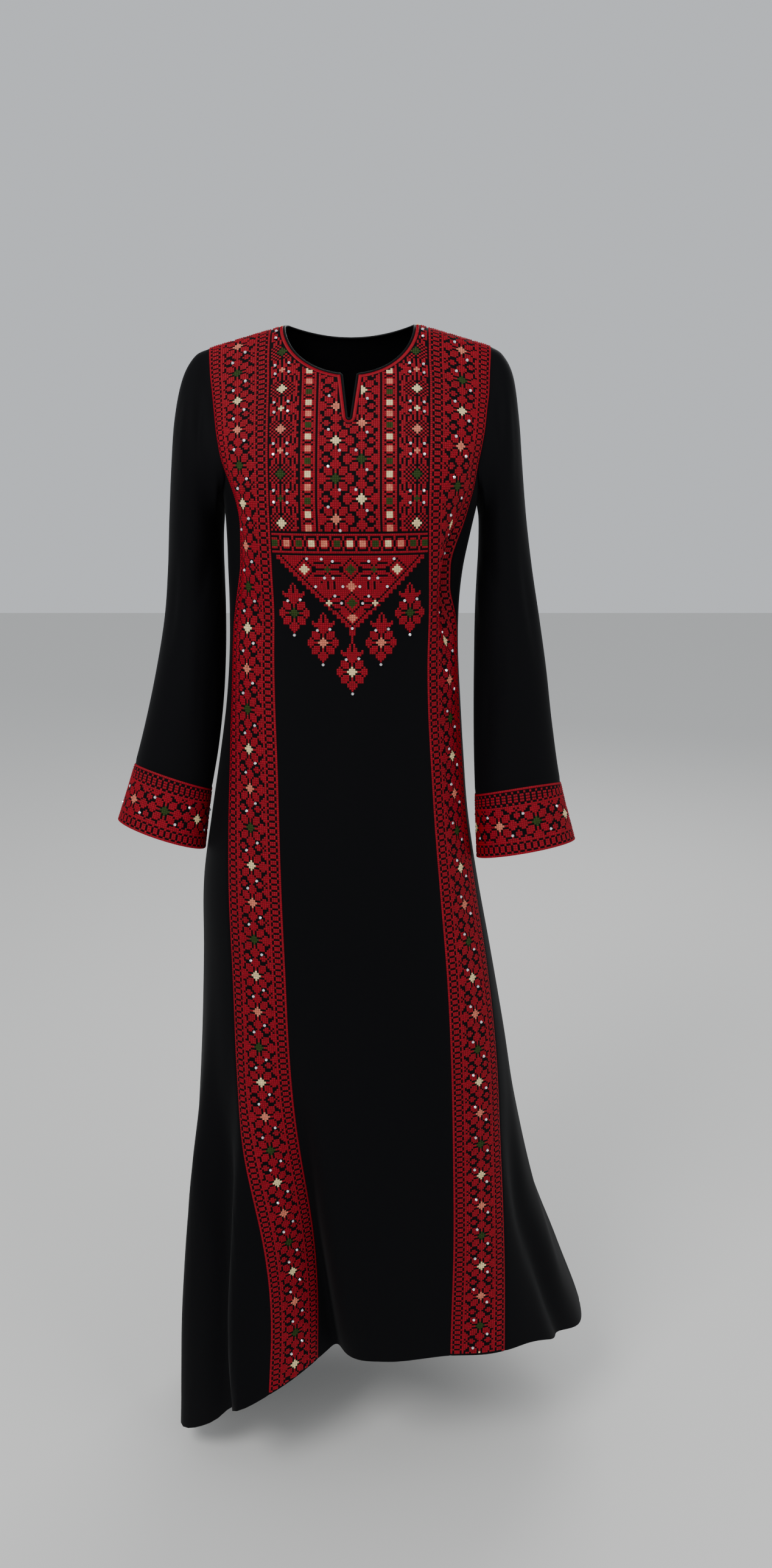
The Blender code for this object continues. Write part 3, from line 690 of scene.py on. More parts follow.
def add_mesh(name, points, faces, surfaces, indices=None, tone=None, uv=None):
    """A mesh object from arrays. faces all have one number of corners. indices gives the
    surface of each face, tone a number for each point, uv a place for each point."""
    points, faces = np.asarray(points, float).reshape(-1, 3), np.asarray(faces)
    mesh = bpy.data.meshes.new(name)
    count, corners = faces.shape
    mesh.vertices.add(len(points))
    mesh.vertices.foreach_set("co", points.ravel())
    mesh.loops.add(count * corners)
    mesh.loops.foreach_set("vertex_index", faces.ravel().astype(np.int32))
    mesh.polygons.add(count)
    mesh.polygons.foreach_set("loop_start", np.arange(0, count * corners, corners, dtype=np.int32))
    mesh.update(calc_edges=True)
    mesh.shade_smooth()
    for surface in surfaces:
        mesh.materials.append(surface)
    if indices is not None:
        mesh.polygons.foreach_set("material_index", np.asarray(indices, np.int32))
    if tone is not None:
        made = mesh.attributes.new("tone", "FLOAT", "POINT")
        made.data.foreach_set("value", np.asarray(tone, np.float32))
    if uv is not None:
        layer = mesh.uv_layers.new(name="UVMap")
        layer.data.foreach_set("uv", np.asarray(uv)[faces.ravel()].astype(np.float32).ravel())
    made = bpy.data.objects.new(name, mesh)
    bpy.context.scene.collection.objects.link(made)
    return made


def shell(name, outer, outward, surface, thickness, closed=False):
    """A thin shell of cloth: the grid of its outer face, an inner face behind it, and
    the edges between them. outward is any rough outward direction of each place."""
    over = np.gradient(outer, axis=1)
    if closed:
        over = np.roll(outer, -1, axis=1) - np.roll(outer, 1, axis=1)
    normals = np.cross(np.gradient(outer, axis=0), over)
    turned = np.sum(normals * outward, axis=-1).mean() < 0
    normals = unit(normals * (-1 if turned else 1), TINY)
    inner = outer - normals * thickness[..., None]
    shift = outer.shape[0] * outer.shape[1]
    grid = np.arange(shift).reshape(outer.shape[:2])
    if closed:
        grid = np.concatenate([grid, grid[:, :1]], axis=1)
    front = np.stack([grid[:-1, :-1], grid[1:, :-1], grid[1:, 1:], grid[:-1, 1:]], -1)
    front = front.reshape(-1, 4)
    edges = [(grid[0, :-1], grid[0, 1:]), (grid[-1, 1:], grid[-1, :-1])]
    if not closed:
        edges += [(grid[1:, 0], grid[:-1, 0]), (grid[:-1, -1], grid[1:, -1])]
    walls = [np.stack([a, b, b + shift, a + shift], -1) for a, b in edges]
    faces = np.concatenate([front, front[:, ::-1] + shift] + walls)
    if turned:
        faces = faces[:, ::-1]
    points = np.concatenate([outer.reshape(-1, 3), inner.reshape(-1, 3)])
    made = add_mesh(name, points, faces, [surface])
    made.data.set_sharp_from_angle(angle=np.radians(60))
    return made


def panel_sections(rows, tops, bottoms):
    """Sections of a panel's grid: the shared rows, moved so that they start at tops and
    end at bottoms; each shift fades over the next rows."""
    count = np.arange(len(rows))[:, None]
    from_top = np.clip(1 - count / BLEND_ROWS, 0, 1)
    from_hem = np.clip(1 - (len(rows) - 1 - count) / BLEND_ROWS, 0, 1)
    sections = rows[:, None] + (tops - rows[0])[None] * from_top
    return sections + (bottoms - rows[-1])[None] * from_hem


def thickness_at(above):
    """Thickness of the cloth at a distance above its hem, which is turned in."""
    return CLOTH + HEM_EXTRA * smooth_step((HEM_TURN - above) / HEM_DETAIL)


def edged(start, end):
    """Columns from start to end, closer together at both edges, where seams run."""
    near = np.array([0, 0.0008, 0.0017, 0.0030, 0.0050])
    inner = np.linspace(0.0050, end - start - 0.0050, max(3, int((end - start) / COLUMN_PITCH)))
    return start + np.concatenate([near[:-1], inner, (end - start - near[:-1])[::-1]])


def body_panel(name, sections, arcs, bottoms, surface, back=False):
    """A panel of the body from its grid of sections and arcs."""
    outward = read(half_body(back)[1], sections, arcs)
    thickness = thickness_at((bottoms[None] - sections) * HEM_SECTION_LENGTH)
    return shell(name, cloth(sections, arcs, back), outward, surface, thickness)


def rows_down():
    """Sections an even distance apart down the front."""
    fine, distance = down_the_cloth(MIDDLE_HALF + STRIP_WIDTH / 2)
    bottom = np.interp(HEM_SECTION, fine, distance)
    return np.interp(np.arange(0, bottom, ROW_PITCH), distance, fine)


def front_centre(surface):
    """The middle of the front, with the neckline and its slit."""
    slit = np.array([0, 0.0017, 0.0034, 0.0045, 0.0056, 0.0067, 0.0078, 0.0089, 0.0100])
    beside = NECK_HALF * np.sin(np.radians(np.arange(10, 91, 4)))
    edge = np.array([0.0800, 0.0830, 0.0865, 0.0895, 0.0915, 0.0924, MIDDLE_HALF])
    tops = both_sides(slit, beside, edge)
    shares = tops / MIDDLE_HALF
    bottoms = hem_section(shares * MIDDLE_HALF_HEM)
    sections = panel_sections(rows_down(), panel_top(tops, back=False), bottoms)
    arcs = shares[None] * middle_half(sections)
    return body_panel("front_centre_cloth", sections, arcs, bottoms, surface)


def strip(side, surface):
    """The cloth of one embroidered strip."""
    sign = SIGN[side]
    shares = edged(0, STRIP_WIDTH) / STRIP_WIDTH
    bottoms = hem_section(sign * (MIDDLE_HALF_HEM + shares * STRIP_WIDTH))
    sections = panel_sections(rows_down(), np.zeros(len(shares)), bottoms)
    arcs = sign * (middle_half(sections) + shares[None] * STRIP_WIDTH)
    return body_panel("strip_" + side + "_cloth", sections, arcs, bottoms, surface)


def front_side(side, surface):
    """The side of the front, a point at the armhole's notch that widens to the hem."""
    sign = SIGN[side]
    shares = np.concatenate([np.linspace(0, 0.1, 8), np.linspace(0.1, 0.97, 26)[1:], [0.985, 1.0]])
    rows = rows_down()
    start = section_at(NOTCH_LEVEL)
    rows = np.concatenate([[start], rows[rows > start + 0.1]])
    drop = np.sqrt(1 - (1 - shares) ** 2) * (NOTCH_LEVEL - UNDERARM_LEVEL)
    inner = MIDDLE_HALF_HEM + STRIP_WIDTH
    outer = abs(side_arc(HEM_SECTION, False, sign))
    bottoms = hem_section(sign * (inner + shares * (outer - inner)))
    sections = panel_sections(rows, section_at(NOTCH_LEVEL - drop), bottoms)
    near = middle_half(sections) + STRIP_WIDTH
    far = np.abs(side_arc(sections, False, sign)) + SEAM_LAP
    arcs = sign * (near + shares[None] * (far - near))
    return body_panel("front_side_" + side + "_cloth", sections, arcs, bottoms, surface)


def back_panel(surface):
    """The back in one piece, plain."""
    neck = NECK_HALF * np.sin(np.radians(np.arange(0, 91, 6)))
    tops = both_sides(neck, edged(NECK_HALF, BACK_HALF)[1:])
    shares = tops / BACK_HALF
    ends = np.array([side_arc(HEM_SECTION, True, -1 if s < 0 else 1) for s in shares])
    bottoms = hem_section(np.abs(shares) * ends, back=True)
    sections = panel_sections(rows_down(), panel_top(tops, back=True), bottoms)
    left = armhole_arc(sections, True, -1) - SEAM_LAP
    right = armhole_arc(sections, True, 1) + SEAM_LAP
    arcs = np.abs(shares)[None] * np.where(shares[None] < 0, left, right)
    return body_panel("back_cloth", sections, arcs, bottoms, surface, back=True)


def sleeve_shell(part, side, rows, surface):
    """A tube of cloth between two rows of a sleeve's table: the sleeve, or its cuff."""
    degrees = np.arange(SLEEVE_TURNS) * 360 / SLEEVE_TURNS
    row, turn = np.meshgrid(rows, degrees, indexing="ij")
    points = sleeve(side, row, turn)
    outward = points - sleeve_frame(side, row, turn)[1]
    thickness = thickness_at((CUFF_ROW + 1 - row) * CUFF_HEIGHT)
    return shell(part + "_" + side + "_cloth", points, outward, surface, thickness, closed=True)


def arm(start, end, half_width, height, tip=0.55):
    """Eight triangles for one thread between two places of a stitch: a low ridge, narrow
    where it goes into the cloth and full in its middle."""
    start, end = np.array(start, float), np.array(end, float)
    along = (end - start) / np.linalg.norm(end - start)
    edge = np.array([-along[1], along[0]]) * half_width
    middle = (start + end) / 2
    flat = [
        start + edge * tip, start - edge * tip, middle + edge, middle - edge,
        end + edge * tip, end - edge * tip,
        start * 0.72 + end * 0.28, start * 0.28 + end * 0.72,
    ]
    heights = [0, 0, 0.1 * height, 0.1 * height, 0, 0, height, height]
    faces = [
        (0, 6, 1), (0, 2, 6), (2, 7, 6), (2, 4, 7),
        (4, 5, 7), (5, 3, 7), (3, 6, 7), (3, 1, 6),
    ]
    across = [0.5, -0.5, 1, -1, 0.5, -0.5, 0, 0]
    length = [0, 0, 0.5, 0.5, 1, 1, 0.28, 0.72]
    return np.c_[np.array(flat), heights], np.array(faces), np.c_[across, length]


def cross_stitch():
    """Two crossed threads in a cell of size 1, heights in metres; the second lies over."""
    under, faces, uv = arm((-0.40, 0.42), (0.40, -0.42), 0.28, 0.00055, 0.85)
    over, _, _ = arm((-0.40, -0.42), (0.40, 0.42), 0.28, 0.00080, 0.85)
    return np.concatenate([under, over]), np.concatenate([faces, faces + 8]), np.tile(uv, (2, 1))


def stone_shape():
    """A faceted stone 1 wide and high: a table, sloping sides of ten facets, a girdle."""
    turns = np.radians(np.arange(10) * 36)
    ring = np.c_[np.cos(turns), np.sin(turns)] / 2
    levels = [(1.0, 0.0), (0.97, 0.12), (0.56, 0.40)]
    rings = [np.c_[ring * width, np.full(10, height)] for width, height in levels]
    points = np.concatenate(rings + [[[0, 0, 0.40]]])
    faces, painted_light_kinds = [], []
    for index in range(10):
        after = (index + 1) % 10
        for level in (0, 10):
            a, b = index + level, after + level
            faces += [(a, b, b + 10), (a, b + 10, a + 10)]
        faces.append((index + 20, after + 20, 30))
        # Painted light on each stone: the table and every other facet white as a painted glint,
        # the facets between in painted shade, and the girdle darker still as painted shade
        painted_light_kinds += [2, 2, index % 2, index % 2, 0]
    return points, np.array(faces), np.array(painted_light_kinds)


def placed(shape, faces, centres, across, down, out):
    """Copies of a shape, its three directions laid along those of each centre."""
    points = centres[:, None] + shape[None, :, :1] * across[:, None]
    points = points + shape[None, :, 1:2] * down[:, None] + shape[None, :, 2:] * out[:, None]
    shift = (np.arange(len(centres)) * len(shape))[:, None, None]
    return points.reshape(-1, 3), (faces[None] + shift).reshape(-1, 3)


def frames(surface, u, v, step_u, step_v):
    """Centres on a surface of two numbers and unit directions across, down and out."""
    down = unit(surface(u + step_u, v) - surface(u - step_u, v))
    across = unit(surface(u, v + step_v) - surface(u, v - step_v))
    return surface(u, v), across, down, unit(np.cross(down, across))


def thread_data(count, uv, shape, length, tone):
    """Tone and place on the thread for every point of count copies of a shape."""
    return np.repeat(tone, len(shape)), np.tile(uv, (count, 1)) * np.array([THREAD_WIDTH, length])


def sew(name, found, colours, size, threads):
    """All stitches of one piece from their frames. colours is a letter for each."""
    centres, _, down, out = found
    shape, faces, uv = cross_stitch()
    feet, across = centres + out * STITCH_LIFT, np.cross(out, down)
    points, triangles = placed(shape, faces, feet, across * size[0], down * size[1], out)
    which = np.array([THREADS.index(letter) for letter in colours])
    tone = np.random.default_rng(len(centres)).normal(0, 1, len(centres))
    tone, width = thread_data(len(centres), uv, shape, THREAD_LENGTH, tone)
    return add_mesh(name, points, triangles, threads, np.repeat(which, len(faces)), tone, width)


def set_stones(name, found, size, surfaces):
    """Stones of one piece on top of the embroidery."""
    centres, across, down, out = found
    # No stone lies quite flat on its stitches, so each glints at its own angle
    tilt = np.random.default_rng(len(centres)).normal(0, STONE_TILT, (2, len(centres), 1))
    out = unit(out + tilt[0] * across + tilt[1] * down)
    down = unit(np.cross(out, across))
    across = np.cross(down, out)
    shape, faces, painted_light_kinds = stone_shape()
    feet = centres + out * STONE_LIFT
    points, triangles = placed(shape, faces, feet, across * size, down * size, out * size)
    made = add_mesh(name, points, triangles, surfaces, np.tile(painted_light_kinds, len(centres)))
    made.data.shade_flat()
    return made


def nearest(row, first=0, period=STAR_ROWS):
    """Rows from the nearest repeat of a pattern, and which repeat that is."""
    index, rest = divmod(row - first + period // 2, period)
    return rest - period // 2, index


def strip_cell(row, column):
    """Letter of the band of thirty stitches at a row and column, or a dot. Rows count
    from a star; the chains stand between single lines, the flowers between the chains."""
    if column in (0, 6, 23, 29):
        return "X"
    if column < 6 or column > 23:
        return CHAIN[row % 3][column - 1 if column < 6 else column - 24]
    near, star = nearest(row)
    letter = STRIP_FLOWERS[abs(near)][column - 7]
    return STRIP_STARS[star % 3] if letter == "C" else letter


def stitched(cells):
    """One array for each value of the cells, without those whose letter is a dot."""
    return [np.array(values) for values in zip(*(cell for cell in cells if cell[2] != "."))]


def strip_stitches(side, threads, gem):
    """The embroidery of one strip, from the shoulder to just above the hem. Its rows are
    spaced so that every eighteenth one has its star at the place the table gives."""
    sign = SIGN[side]
    fine, distance = down_the_cloth(sign * (MIDDLE_HALF + STRIP_WIDTH / 2))
    stars, places = np.array(STRIP_STAR_PLACES[side]).T

    def down_at(row):
        return np.interp(row / STAR_ROWS, stars, places)

    def place(row, column, below, above):
        section = np.interp(down_at(row), distance, fine)
        arc = sign * (middle_half(section) + column * STRIP_PITCH)
        kept = (section < hem_section(arc) - above) & (down_at(row) > below)
        return frames(cloth, section[kept], arc[kept], *BODY_STEPS), kept

    rows, columns, letters = stitched(
        (row, column + 0.5, strip_cell(row, column))
        for row in range(-STAR_ROWS, int(stars[-1] * STAR_ROWS))
        for column in range(BAND_COLUMNS)
    )
    found, kept = place(rows, columns, *STITCHES_BARE)
    height = down_at(rows + 0.5) - down_at(rows - 0.5)
    size = (STRIP_PITCH, height[kept, None])
    stitches = sew("stitches_strip_" + side, found, letters[kept], size, threads)
    chance = np.random.default_rng(5 if side == "left" else 6)
    (right, right_row), (left, left_row) = STRIP_STONES[side]
    spots = []
    for star in range(int(stars[-1])):
        shift = chance.normal(0, STONE_SPREAD, 4)
        row = star * STAR_ROWS
        spots.append((row + right_row + shift[0], STAR_COLUMN + right * sign + shift[2]))
        spots.append((row + left_row + shift[1], STAR_COLUMN + left * sign + shift[3]))
    found, _ = place(*np.array(spots).T, *STONES_BARE)
    return stitches, set_stones("stones_strip_" + side, found, STONE, gem)


def flower_cell(column, row):
    """Letter of a flower at a distance from its star, the same in all four quarters."""
    row, column = abs(row), abs(column)
    return FLOWER[row][column] if row < len(FLOWER) and column < len(FLOWER[0]) else "."


def edge_cell(inwards, row):
    """Letter of a half flower at an edge, by columns inwards and rows from its middle."""
    row = abs(row)
    return EDGE_FLOWER[row][inwards] if row < 6 and 0 <= inwards < 6 else "."


def field_cell(column, up):
    """Letter of the field of 29 columns, up rows above the band. Stars stand in two
    columns, the second half a period higher, with half flowers at the outer edges."""
    if column in (0, 28):
        return "X"
    near_left, left = nearest(up, 6)
    near_right, right = nearest(up, 15)
    for letter, colour in (
        (flower_cell(column - 8, near_left), FIELD_LEFT_STARS[left % 4]),
        (flower_cell(column - 20, near_right), FIELD_RIGHT_STARS[right % 4]),
    ):
        if letter != ".":
            return colour if letter == "C" else letter
    half_flowers = (edge_cell(column, near_right), edge_cell(28 - column, near_left))
    return "X" if "X" in half_flowers else "."


def square_cell(column, up):
    """Letter of the column of squares, seven wide."""
    letter = SQUARES[(up - 1) % 6][column]
    return "PCG"[((up - 1) // 6) % 3] if letter == "C" else letter


def diamond_cell(column, up):
    """Letter of the column of diamonds, seventeen wide, with small crosses between."""
    near, index = nearest(up, 4, 22)
    letter = DIAMOND[abs(near)][abs(column - 8)]
    if letter != "C":
        return letter
    return "CGPCG"[index % 5] if abs(near) < 5 else "GPCPG"[((up - 4) // 22) % 5]


def panel_cell(column, up):
    """Letter of the chest panel, 83 wide, up rows above the band."""
    for start, width, cell in (
        (1, 17, diamond_cell),
        (19, 7, square_cell),
        (27, 29, field_cell),
        (57, 7, square_cell),
        (65, 17, diamond_cell),
    ):
        if start <= column < start + width:
            return cell(column - start, up)
    return "."


def band_cell(column, row):
    """Letter of the band of squares below the chest panel."""
    square, index = divmod(column - MIDDLE_COLUMN + 3, 6)
    letter = BAND[row][index]
    return BAND_SQUARES[min(max(square + 6, 0), 12)] if letter == "C" else letter


def triangle_cell(across, row):
    """Letter of the stepped triangle, by the distance from its middle and the row."""
    away = abs(across)
    if row > 37:
        return "X" if away == 0 and row < 42 else "."
    if row > 34:
        return "X" if away <= 1 else "."
    if away > 35 - 2 * (row // 2):
        return "."
    for column, level, colour in TRIANGLE_DIAMONDS:
        down, over = abs(row - level), abs(away - column)
        if down + over <= 2:
            return colour
        if down + over == 5 and (column > 0 or level in (6, 22)):
            return "."
    for column, level, colour in ((11, 6, "G"), (11, 22, "C")):
        down, over = abs(row - level), abs(away - column)
        if down + over <= 1:
            return colour
        if (down, over) in ((2, 1), (0, 2), (0, 3), (0, 4), (0, 5)):
            return "."
        if (over in (6, 7) and down < 2) or (down == 3 and 2 <= over <= 6 and level == 6):
            return "."
        if down == 3 and 2 <= over <= 5 and away < 11:
            return "."
    if 35 - row - away == 2:
        return "."
    return "." if away in (8, 11, 14) and 12 <= row <= 15 and away < 27 - row else "X"


def medallion_cells(centre, level, colour):
    """Cells of one hanging medallion: a flower of four petals under a small crown."""
    for down in range(-9, 10):
        for over in range(-7, 8):
            letter = flower_cell(over, down)
            # The flower is a column narrower here, and its corners stay bare
            if letter != "." and (abs(down), abs(over)) != (2, 7):
                yield centre + over, level + down, colour if letter == "C" else "X"
    for index, row in enumerate(CROWN):
        for over, letter in enumerate(row):
            if letter == "X":
                yield centre + over - 6, level - 14 + index, "X"


def middle_cells():
    """All cells of the middle panel as column, row and letter. Rows count down from the
    band's upper edge, and the triangle starts below the band and one bare row."""
    wide = range(MIDDLE_COLUMNS)
    cells = [(column, -up - 1, panel_cell(column, up)) for up in range(1, 125) for column in wide]
    cells += [(column, row, band_cell(column, row)) for row in range(9) for column in wide]
    cells += [
        (MIDDLE_COLUMN + over, row + TRIANGLE_ROW, triangle_cell(over, row))
        for row in range(42)
        for over in range(-36, 37)
    ]
    taken = {(column, row) for column, row, letter in cells if letter != "."}
    for medallion in MEDALLIONS:
        for over, down, letter in medallion_cells(*medallion):
            column, row = MIDDLE_COLUMN + over, TRIANGLE_ROW + down
            if (column, row) not in taken:
                cells.append((column, row, letter))
    return cells


def middle_stones():
    """Places of the stones on the middle panel, as columns and rows."""
    found = []
    for up in range(6, 120, 18):
        for middle, beside in FIELD_STONES:
            found += [(middle + a, -up + b) for a, b in beside]
    for up in range(15, 120, 22):
        for middle in DIAMOND_MIDDLES:
            found += [(middle + a, -up - 1 + b) for a in (-3.3, 3.3) for b in (-3.4, 1.8)]
    for side in (-1, 1):
        found += [(MIDDLE_COLUMN + side * a, TRIANGLE_ROW + b) for a, b in TRIANGLE_STONES]
    found.append((MIDDLE_COLUMN, 44))
    for centre, level, _ in MEDALLIONS:
        row = TRIANGLE_ROW + level
        found += [(MIDDLE_COLUMN + centre + a, row + b) for a, b in MEDALLION_STONES]
    return np.array(found, float).T


def neck_line(back):
    """Sections and arcs of the neckline from the left shoulder to the right."""
    beside = NECK_HALF * np.sin(np.radians(np.arange(9, 90.1, 1.5)))
    foot = SLIT_HALF_BOTTOM * np.sin(np.radians(np.arange(0, 91, 15)))
    slit = np.linspace(SLIT_HALF_BOTTOM, SLIT_HALF_TOP, 24)[1:]
    arcs = both_sides([0], beside) if back else both_sides(foot, slit, beside)
    return panel_top(arcs, back), arcs


def middle_stitches(threads, gem):
    """The embroidery of the middle panel, cut off beside the neckline's satin line."""
    fine, distance = down_the_cloth(0.0)
    start = np.interp(section_at(BAND_LEVEL), fine, distance)
    edge = cloth(*neck_line(back=False))

    def place(column, row, clearance):
        section = np.interp(start + (row + 0.5) * MIDDLE_ROW, distance, fine)
        arc = (column - MIDDLE_COLUMN) * MIDDLE_PITCH
        below = (start + row * MIDDLE_ROW > SHOULDER_BARE) & (section > panel_top(arc, back=False))
        gaps = [np.min(np.linalg.norm(edge - point, axis=1)) for point in cloth(section, arc)]
        inside = np.abs(arc) < middle_half(section) - SEAM_BARE
        kept = below & (np.array(gaps) > clearance) & inside
        return frames(cloth, section[kept], arc[kept], *BODY_STEPS), kept

    columns, rows, letters = stitched(middle_cells())
    found, kept = place(columns, rows, STITCH_CLEARANCE)
    stitches = sew("stitches_front", found, letters[kept], (MIDDLE_PITCH, MIDDLE_ROW), threads)
    found, _ = place(*middle_stones(), STONE_CLEARANCE)
    return stitches, set_stones("stones_front", found, MIDDLE_STONE, gem)


def cuff_stitches(side, phase, threads, gem):
    """The band of thirty stitches turned round a cuff, rows down from its seam."""
    degrees = np.linspace(180, 540, 1441)
    cells, spots = [], []
    for column in range(BAND_COLUMNS):
        row = CUFF_ROW + (column + 0.5) / BAND_COLUMNS
        round_it = run_along(sleeve(side, np.full(len(degrees), row), degrees))
        places = (np.arange(CUFF_STITCHES) + 0.5) / CUFF_STITCHES * round_it[-1]
        for index, turn in enumerate(np.interp(places, round_it, degrees)):
            band_row = phase - SIGN[side] * index
            letter = strip_cell(band_row, column)
            cells.append((row, turn, letter, round_it[-1] / CUFF_STITCHES))
            if (column, nearest(band_row)[0]) in CUFF_STONES:
                spots.append((row, turn))

    def place(rows, turns):
        centres, across, down, out = frames(partial(sleeve, side), rows, turns, *SLEEVE_STEPS)
        away = centres - sleeve_frame(side, rows, turns)[1]
        return centres, across, down, out * np.sign(np.sum(out * away, axis=-1, keepdims=True))

    rows, turns, letters, sizes = stitched(cells)
    size = (sizes[:, None], CUFF_HEIGHT / BAND_COLUMNS)
    stitches = sew("stitches_cuff_" + side, place(rows, turns), letters, size, threads)
    return stitches, set_stones("stones_cuff_" + side, place(*np.array(spots).T), STONE, gem)


def edge_frames(back):
    """Points of the neckline an even distance apart, with directions along it, into the
    panel, and out of the cloth."""
    sections, arcs = neck_line(back)
    line = cloth(sections, arcs, back)
    run = run_along(line)
    even = np.arange(0.0003, run[-1], SATIN_PITCH)
    sections, arcs = np.interp(even, run, sections), np.interp(even, run, arcs)
    points = np.stack([np.interp(even, run, line[:, axis]) for axis in range(3)], -1)
    out = unit(read(half_body(back)[1], sections, arcs))
    along = unit(np.gradient(points, axis=0))
    return points, along, unit(np.cross(along, out)), out


def satin_line(surface):
    """A close row of red satin stitches along the neckline and the slit."""
    points, along, into, out = edge_frames(back=False)
    shape, faces, uv = arm((0, 0.0008), (0, SATIN_LENGTH), 0.00045, 0.0007)
    stitches, triangles = placed(shape, faces, points + out * STITCH_LIFT, along, into, out)
    tone = np.random.default_rng(3).normal(0, 0.6, len(points))
    tone, width = thread_data(len(points), uv, shape, SATIN_LENGTH, tone)
    return add_mesh("satin_line", stitches, triangles, [surface], None, tone, width)


def piping(surface):
    """The round piping just inside the neckline, in one loop."""
    turns = np.radians(np.arange(8) * 45)[None, :, None]
    rings = []
    for back in (False, True):
        points, _, into, out = (part[::3] for part in edge_frames(back))
        inward = into if back else -into
        centre = points - out * PIPING_DEPTH + inward * PIPING_INWARD
        ring = inward[:, None] * np.cos(turns) + out[:, None] * np.sin(turns)
        ring = centre[:, None] + ring * PIPING_RADIUS
        rings.append(ring[::-1] if back else ring)
    points = np.concatenate(rings)
    grid = np.arange(len(points) * 8).reshape(-1, 8)
    after, beside = np.roll(grid, -1, axis=0), np.roll(grid, -1, axis=1)
    faces = np.stack([grid, after, np.roll(after, -1, axis=1), beside], -1).reshape(-1, 4)
    return add_mesh("piping_tube", points, faces, [surface])


def linear(code):
    """The scene's linear colour of a hex colour."""
    values = [int(code[i : i + 2], 16) / 255 for i in (1, 3, 5)]
    return [v / 12.92 if v <= 0.04045 else ((v + 0.055) / 1.055) ** 2.4 for v in values] + [1.0]


def node(tree, kind, inputs=None, **settings):
    """A shader node with its settings and input values or links."""
    made = tree.nodes.new(kind)
    for key, value in settings.items():
        setattr(made, key, value)
    for key, value in (inputs or {}).items():
        if isinstance(value, bpy.types.NodeSocket):
            tree.links.new(value, made.inputs[key])
        else:
            made.inputs[key].default_value = value
    return made


def principled(name, colour, **values):
    """A material with its Principled shader's values set."""
    made = bpy.data.materials.new(name)
    made.use_nodes = True
    shader = made.node_tree.nodes["Principled BSDF"]
    shader.inputs["Base Color"].default_value = linear(colour)
    for key, value in values.items():
        shader.inputs[key.replace("_", " ")].default_value = value
    return made, made.node_tree, shader


def add_bump(tree, shader, height, strength, distance):
    """Bumps of a height on a shader."""
    values = {"Strength": strength, "Distance": distance, "Height": height}
    bump = node(tree, "ShaderNodeBump", values)
    tree.links.new(bump.outputs["Normal"], shader.inputs["Normal"])


def crepe():
    """Black polyester crepe: matt, with a fine pebbled grain half a millimetre across and
    a faint sheen where it turns away."""
    sheen = {"Sheen_Weight": 0.02, "Sheen_Roughness": 0.45, "Specular_IOR_Level": 0.07}
    made, tree, shader = principled("black_crepe", "#050507", Roughness=0.75, **sheen)
    place = node(tree, "ShaderNodeTexCoord").outputs["Object"]
    grain = node(tree, "ShaderNodeTexNoise", {"Vector": place, "Scale": 1900.0, "Detail": 2.0})
    add_bump(tree, shader, grain.outputs["Fac"], 0.35, 0.00015)
    return made


def thread(name, colour):
    """Stranded cotton: soft sheen, the twist of its strands along each stitch, and a
    slightly different tone from stitch to stitch."""
    made, tree, shader = principled(name, colour, Roughness=0.5, Specular_IOR_Level=0.15)
    tone = node(tree, "ShaderNodeAttribute", attribute_name="tone", attribute_type="GEOMETRY")
    spread = {0: tone.outputs["Fac"], 1: 0.09, 2: 1.0}
    value = node(tree, "ShaderNodeMath", spread, operation="MULTIPLY_ADD").outputs[0]
    shade = node(tree, "ShaderNodeHueSaturation", {"Value": value, "Color": linear(colour)})
    tree.links.new(shade.outputs["Color"], shader.inputs["Base Color"])
    place = node(tree, "ShaderNodeTexCoord").outputs["UV"]
    turned = node(tree, "ShaderNodeMapping", {"Vector": place, "Rotation": (0, 0, 0.35)})
    twist = {"Vector": turned.outputs["Vector"], "Scale": 700.0, "Distortion": 0.4}
    strands = node(tree, "ShaderNodeTexWave", twist)
    add_bump(tree, shader, strands.outputs["Fac"], 0.5, 0.0001)
    return made


def stone_surfaces():
    """Clear foil-backed glass stone with its light painted in: the table and every other facet
    white as a painted glint, the facets between in a grey painted shade, the girdle painted dark."""
    # Painted light: white for the glinting facets, grey for the painted shade between them, dark
    # grey for the painted shade of the girdle
    painted_light_tones = (("painted_glint", "#ffffff"), ("soft", "#b4c0d0"), ("rim", "#4a4f58"))
    coat = {"Coat_Weight": 1.0, "Coat_Roughness": 0.02}
    return [
        principled("rhinestone_" + name, colour, Roughness=0.05, Metallic=0.6, **coat)[0]
        for name, colour in painted_light_tones
    ]


def lamp(name, place, target, power, size):
    """A square soft light that faces a point."""
    light = bpy.data.lights.new(name, "AREA")
    light.energy, light.size = power, size
    made = bpy.data.objects.new(name, light)
    made.location = place
    made.rotation_euler = (Vector(target) - Vector(place)).to_track_quat("-Z", "Y").to_euler()
    bpy.context.scene.collection.objects.link(made)


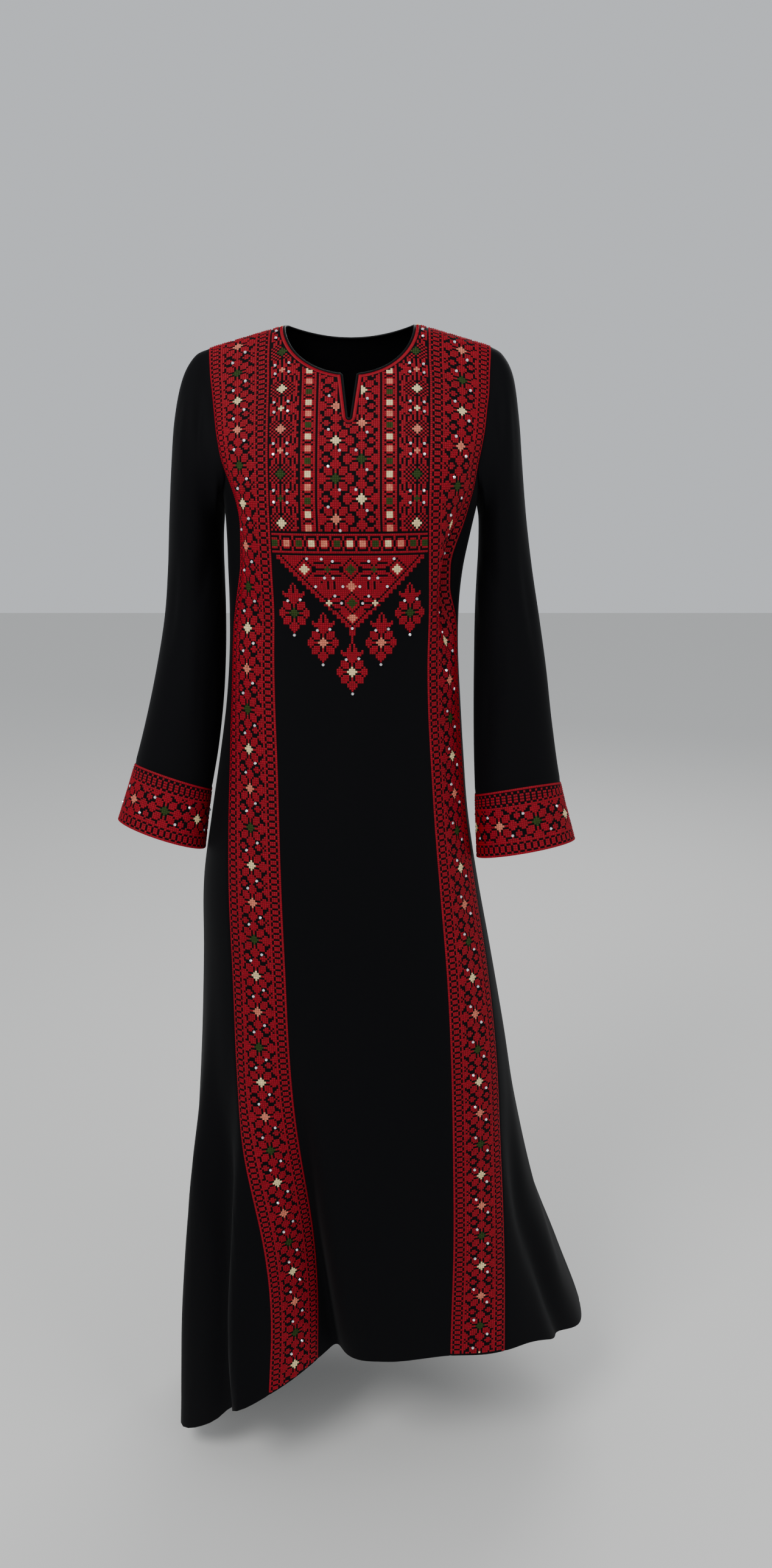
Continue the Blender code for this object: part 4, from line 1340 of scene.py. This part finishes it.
def studio():
    """Camera, pale floor, soft lights and an even pale world."""
    scene = bpy.context.scene
    camera = bpy.data.cameras.new("camera")
    camera.lens, camera.sensor_width, camera.sensor_fit = 29.14, 36.0, "AUTO"
    seen = bpy.data.objects.new("camera", camera)
    seen.location = (0.039, -1.606, -0.1095)
    seen.rotation_euler = (np.radians(90 - 16), 0, 0)
    scene.collection.objects.link(seen)
    scene.camera = seen
    surface, _, _ = principled("floor", "#d9d8d5", Roughness=0.7)
    corners = [(x * 8, y * 8, FLOOR_LEVEL) for x, y in ((-1, -1), (1, -1), (1, 1), (-1, 1))]
    floor = add_mesh("floor", corners, [[0, 1, 2, 3]], [surface])
    world = bpy.data.worlds.new("world")
    world.use_nodes = True
    air = world.node_tree.nodes["Background"].inputs
    air["Color"].default_value = linear("#e9edf2")
    air["Strength"].default_value = 0.75
    scene.world = world
    lamp("key", (-1.1, -1.8, 1.3), (0, 0, -0.35), 52, 1.1)
    lamp("fill", (2.3, -1.9, 0.6), (0, 0, -0.5), 26, 1.6)
    lamp("rim", (0.8, 2.4, 1.2), (0, 0, -0.6), 40, 2.0)


def build():
    """Every piece on its solid, with what is sewn on it."""
    black = crepe()
    satin_black, _, _ = principled(
        "black_satin_piping", "#050506", Roughness=0.5, Specular_IOR_Level=0.12
    )
    threads = [thread("thread_" + name, colour) for name, colour in THREAD_COLOURS]
    gem = stone_surfaces()
    sleeve_rows = np.linspace(0, CUFF_ROW, 100)
    cuff_rows = np.linspace(CUFF_ROW, CUFF_ROW + 1, 16)
    pieces = {"front_centre": front_centre(black), "back": back_panel(black)}
    for side in SIGN:
        pieces["strip_" + side] = strip(side, black)
        pieces["front_side_" + side] = front_side(side, black)
        pieces["sleeve_" + side] = sleeve_shell("sleeve", side, sleeve_rows, black)
        pieces["cuff_" + side] = sleeve_shell("cuff", side, cuff_rows, black)
    sewn = {"front_centre": [*middle_stitches(threads, gem), satin_line(threads[0])]}
    for side in SIGN:
        sewn["strip_" + side] = strip_stitches(side, threads, gem)
    for side in SIGN:
        sewn["cuff_" + side] = cuff_stitches(side, CUFF_PHASE[side], threads, gem)
    for name, made in pieces.items():
        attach(made, "root")
        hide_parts(name)
        added = list(sewn.get(name, ()))
        for extra in added:
            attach(extra, "root")
    edge = piping(satin_black)
    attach(edge, "root")
    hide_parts("neck_piping")


THREAD_COLOURS = (
    ("red", "#860016"), ("green", "#26380c"), ("peach", "#c4705a"), ("cream", "#dcc693"),
)

# Pieces that each one hangs from
HANGS_FROM = {"front_centre": ["back"], "back": ["front_centre"]}
for side in SIGN:
    HANGS_FROM["strip_" + side] = ["back"]
    HANGS_FROM["front_side_" + side] = HANGS_FROM["sleeve_" + side] = ["strip_" + side, "back"]
    HANGS_FROM["cuff_" + side] = ["sleeve_" + side]

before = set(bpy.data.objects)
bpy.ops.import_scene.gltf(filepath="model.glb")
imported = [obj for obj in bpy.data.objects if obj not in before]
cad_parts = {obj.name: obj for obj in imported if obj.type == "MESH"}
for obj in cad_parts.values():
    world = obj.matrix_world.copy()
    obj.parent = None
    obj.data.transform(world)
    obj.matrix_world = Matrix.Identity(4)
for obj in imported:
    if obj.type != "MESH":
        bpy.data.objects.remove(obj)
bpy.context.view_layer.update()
studio()
build()
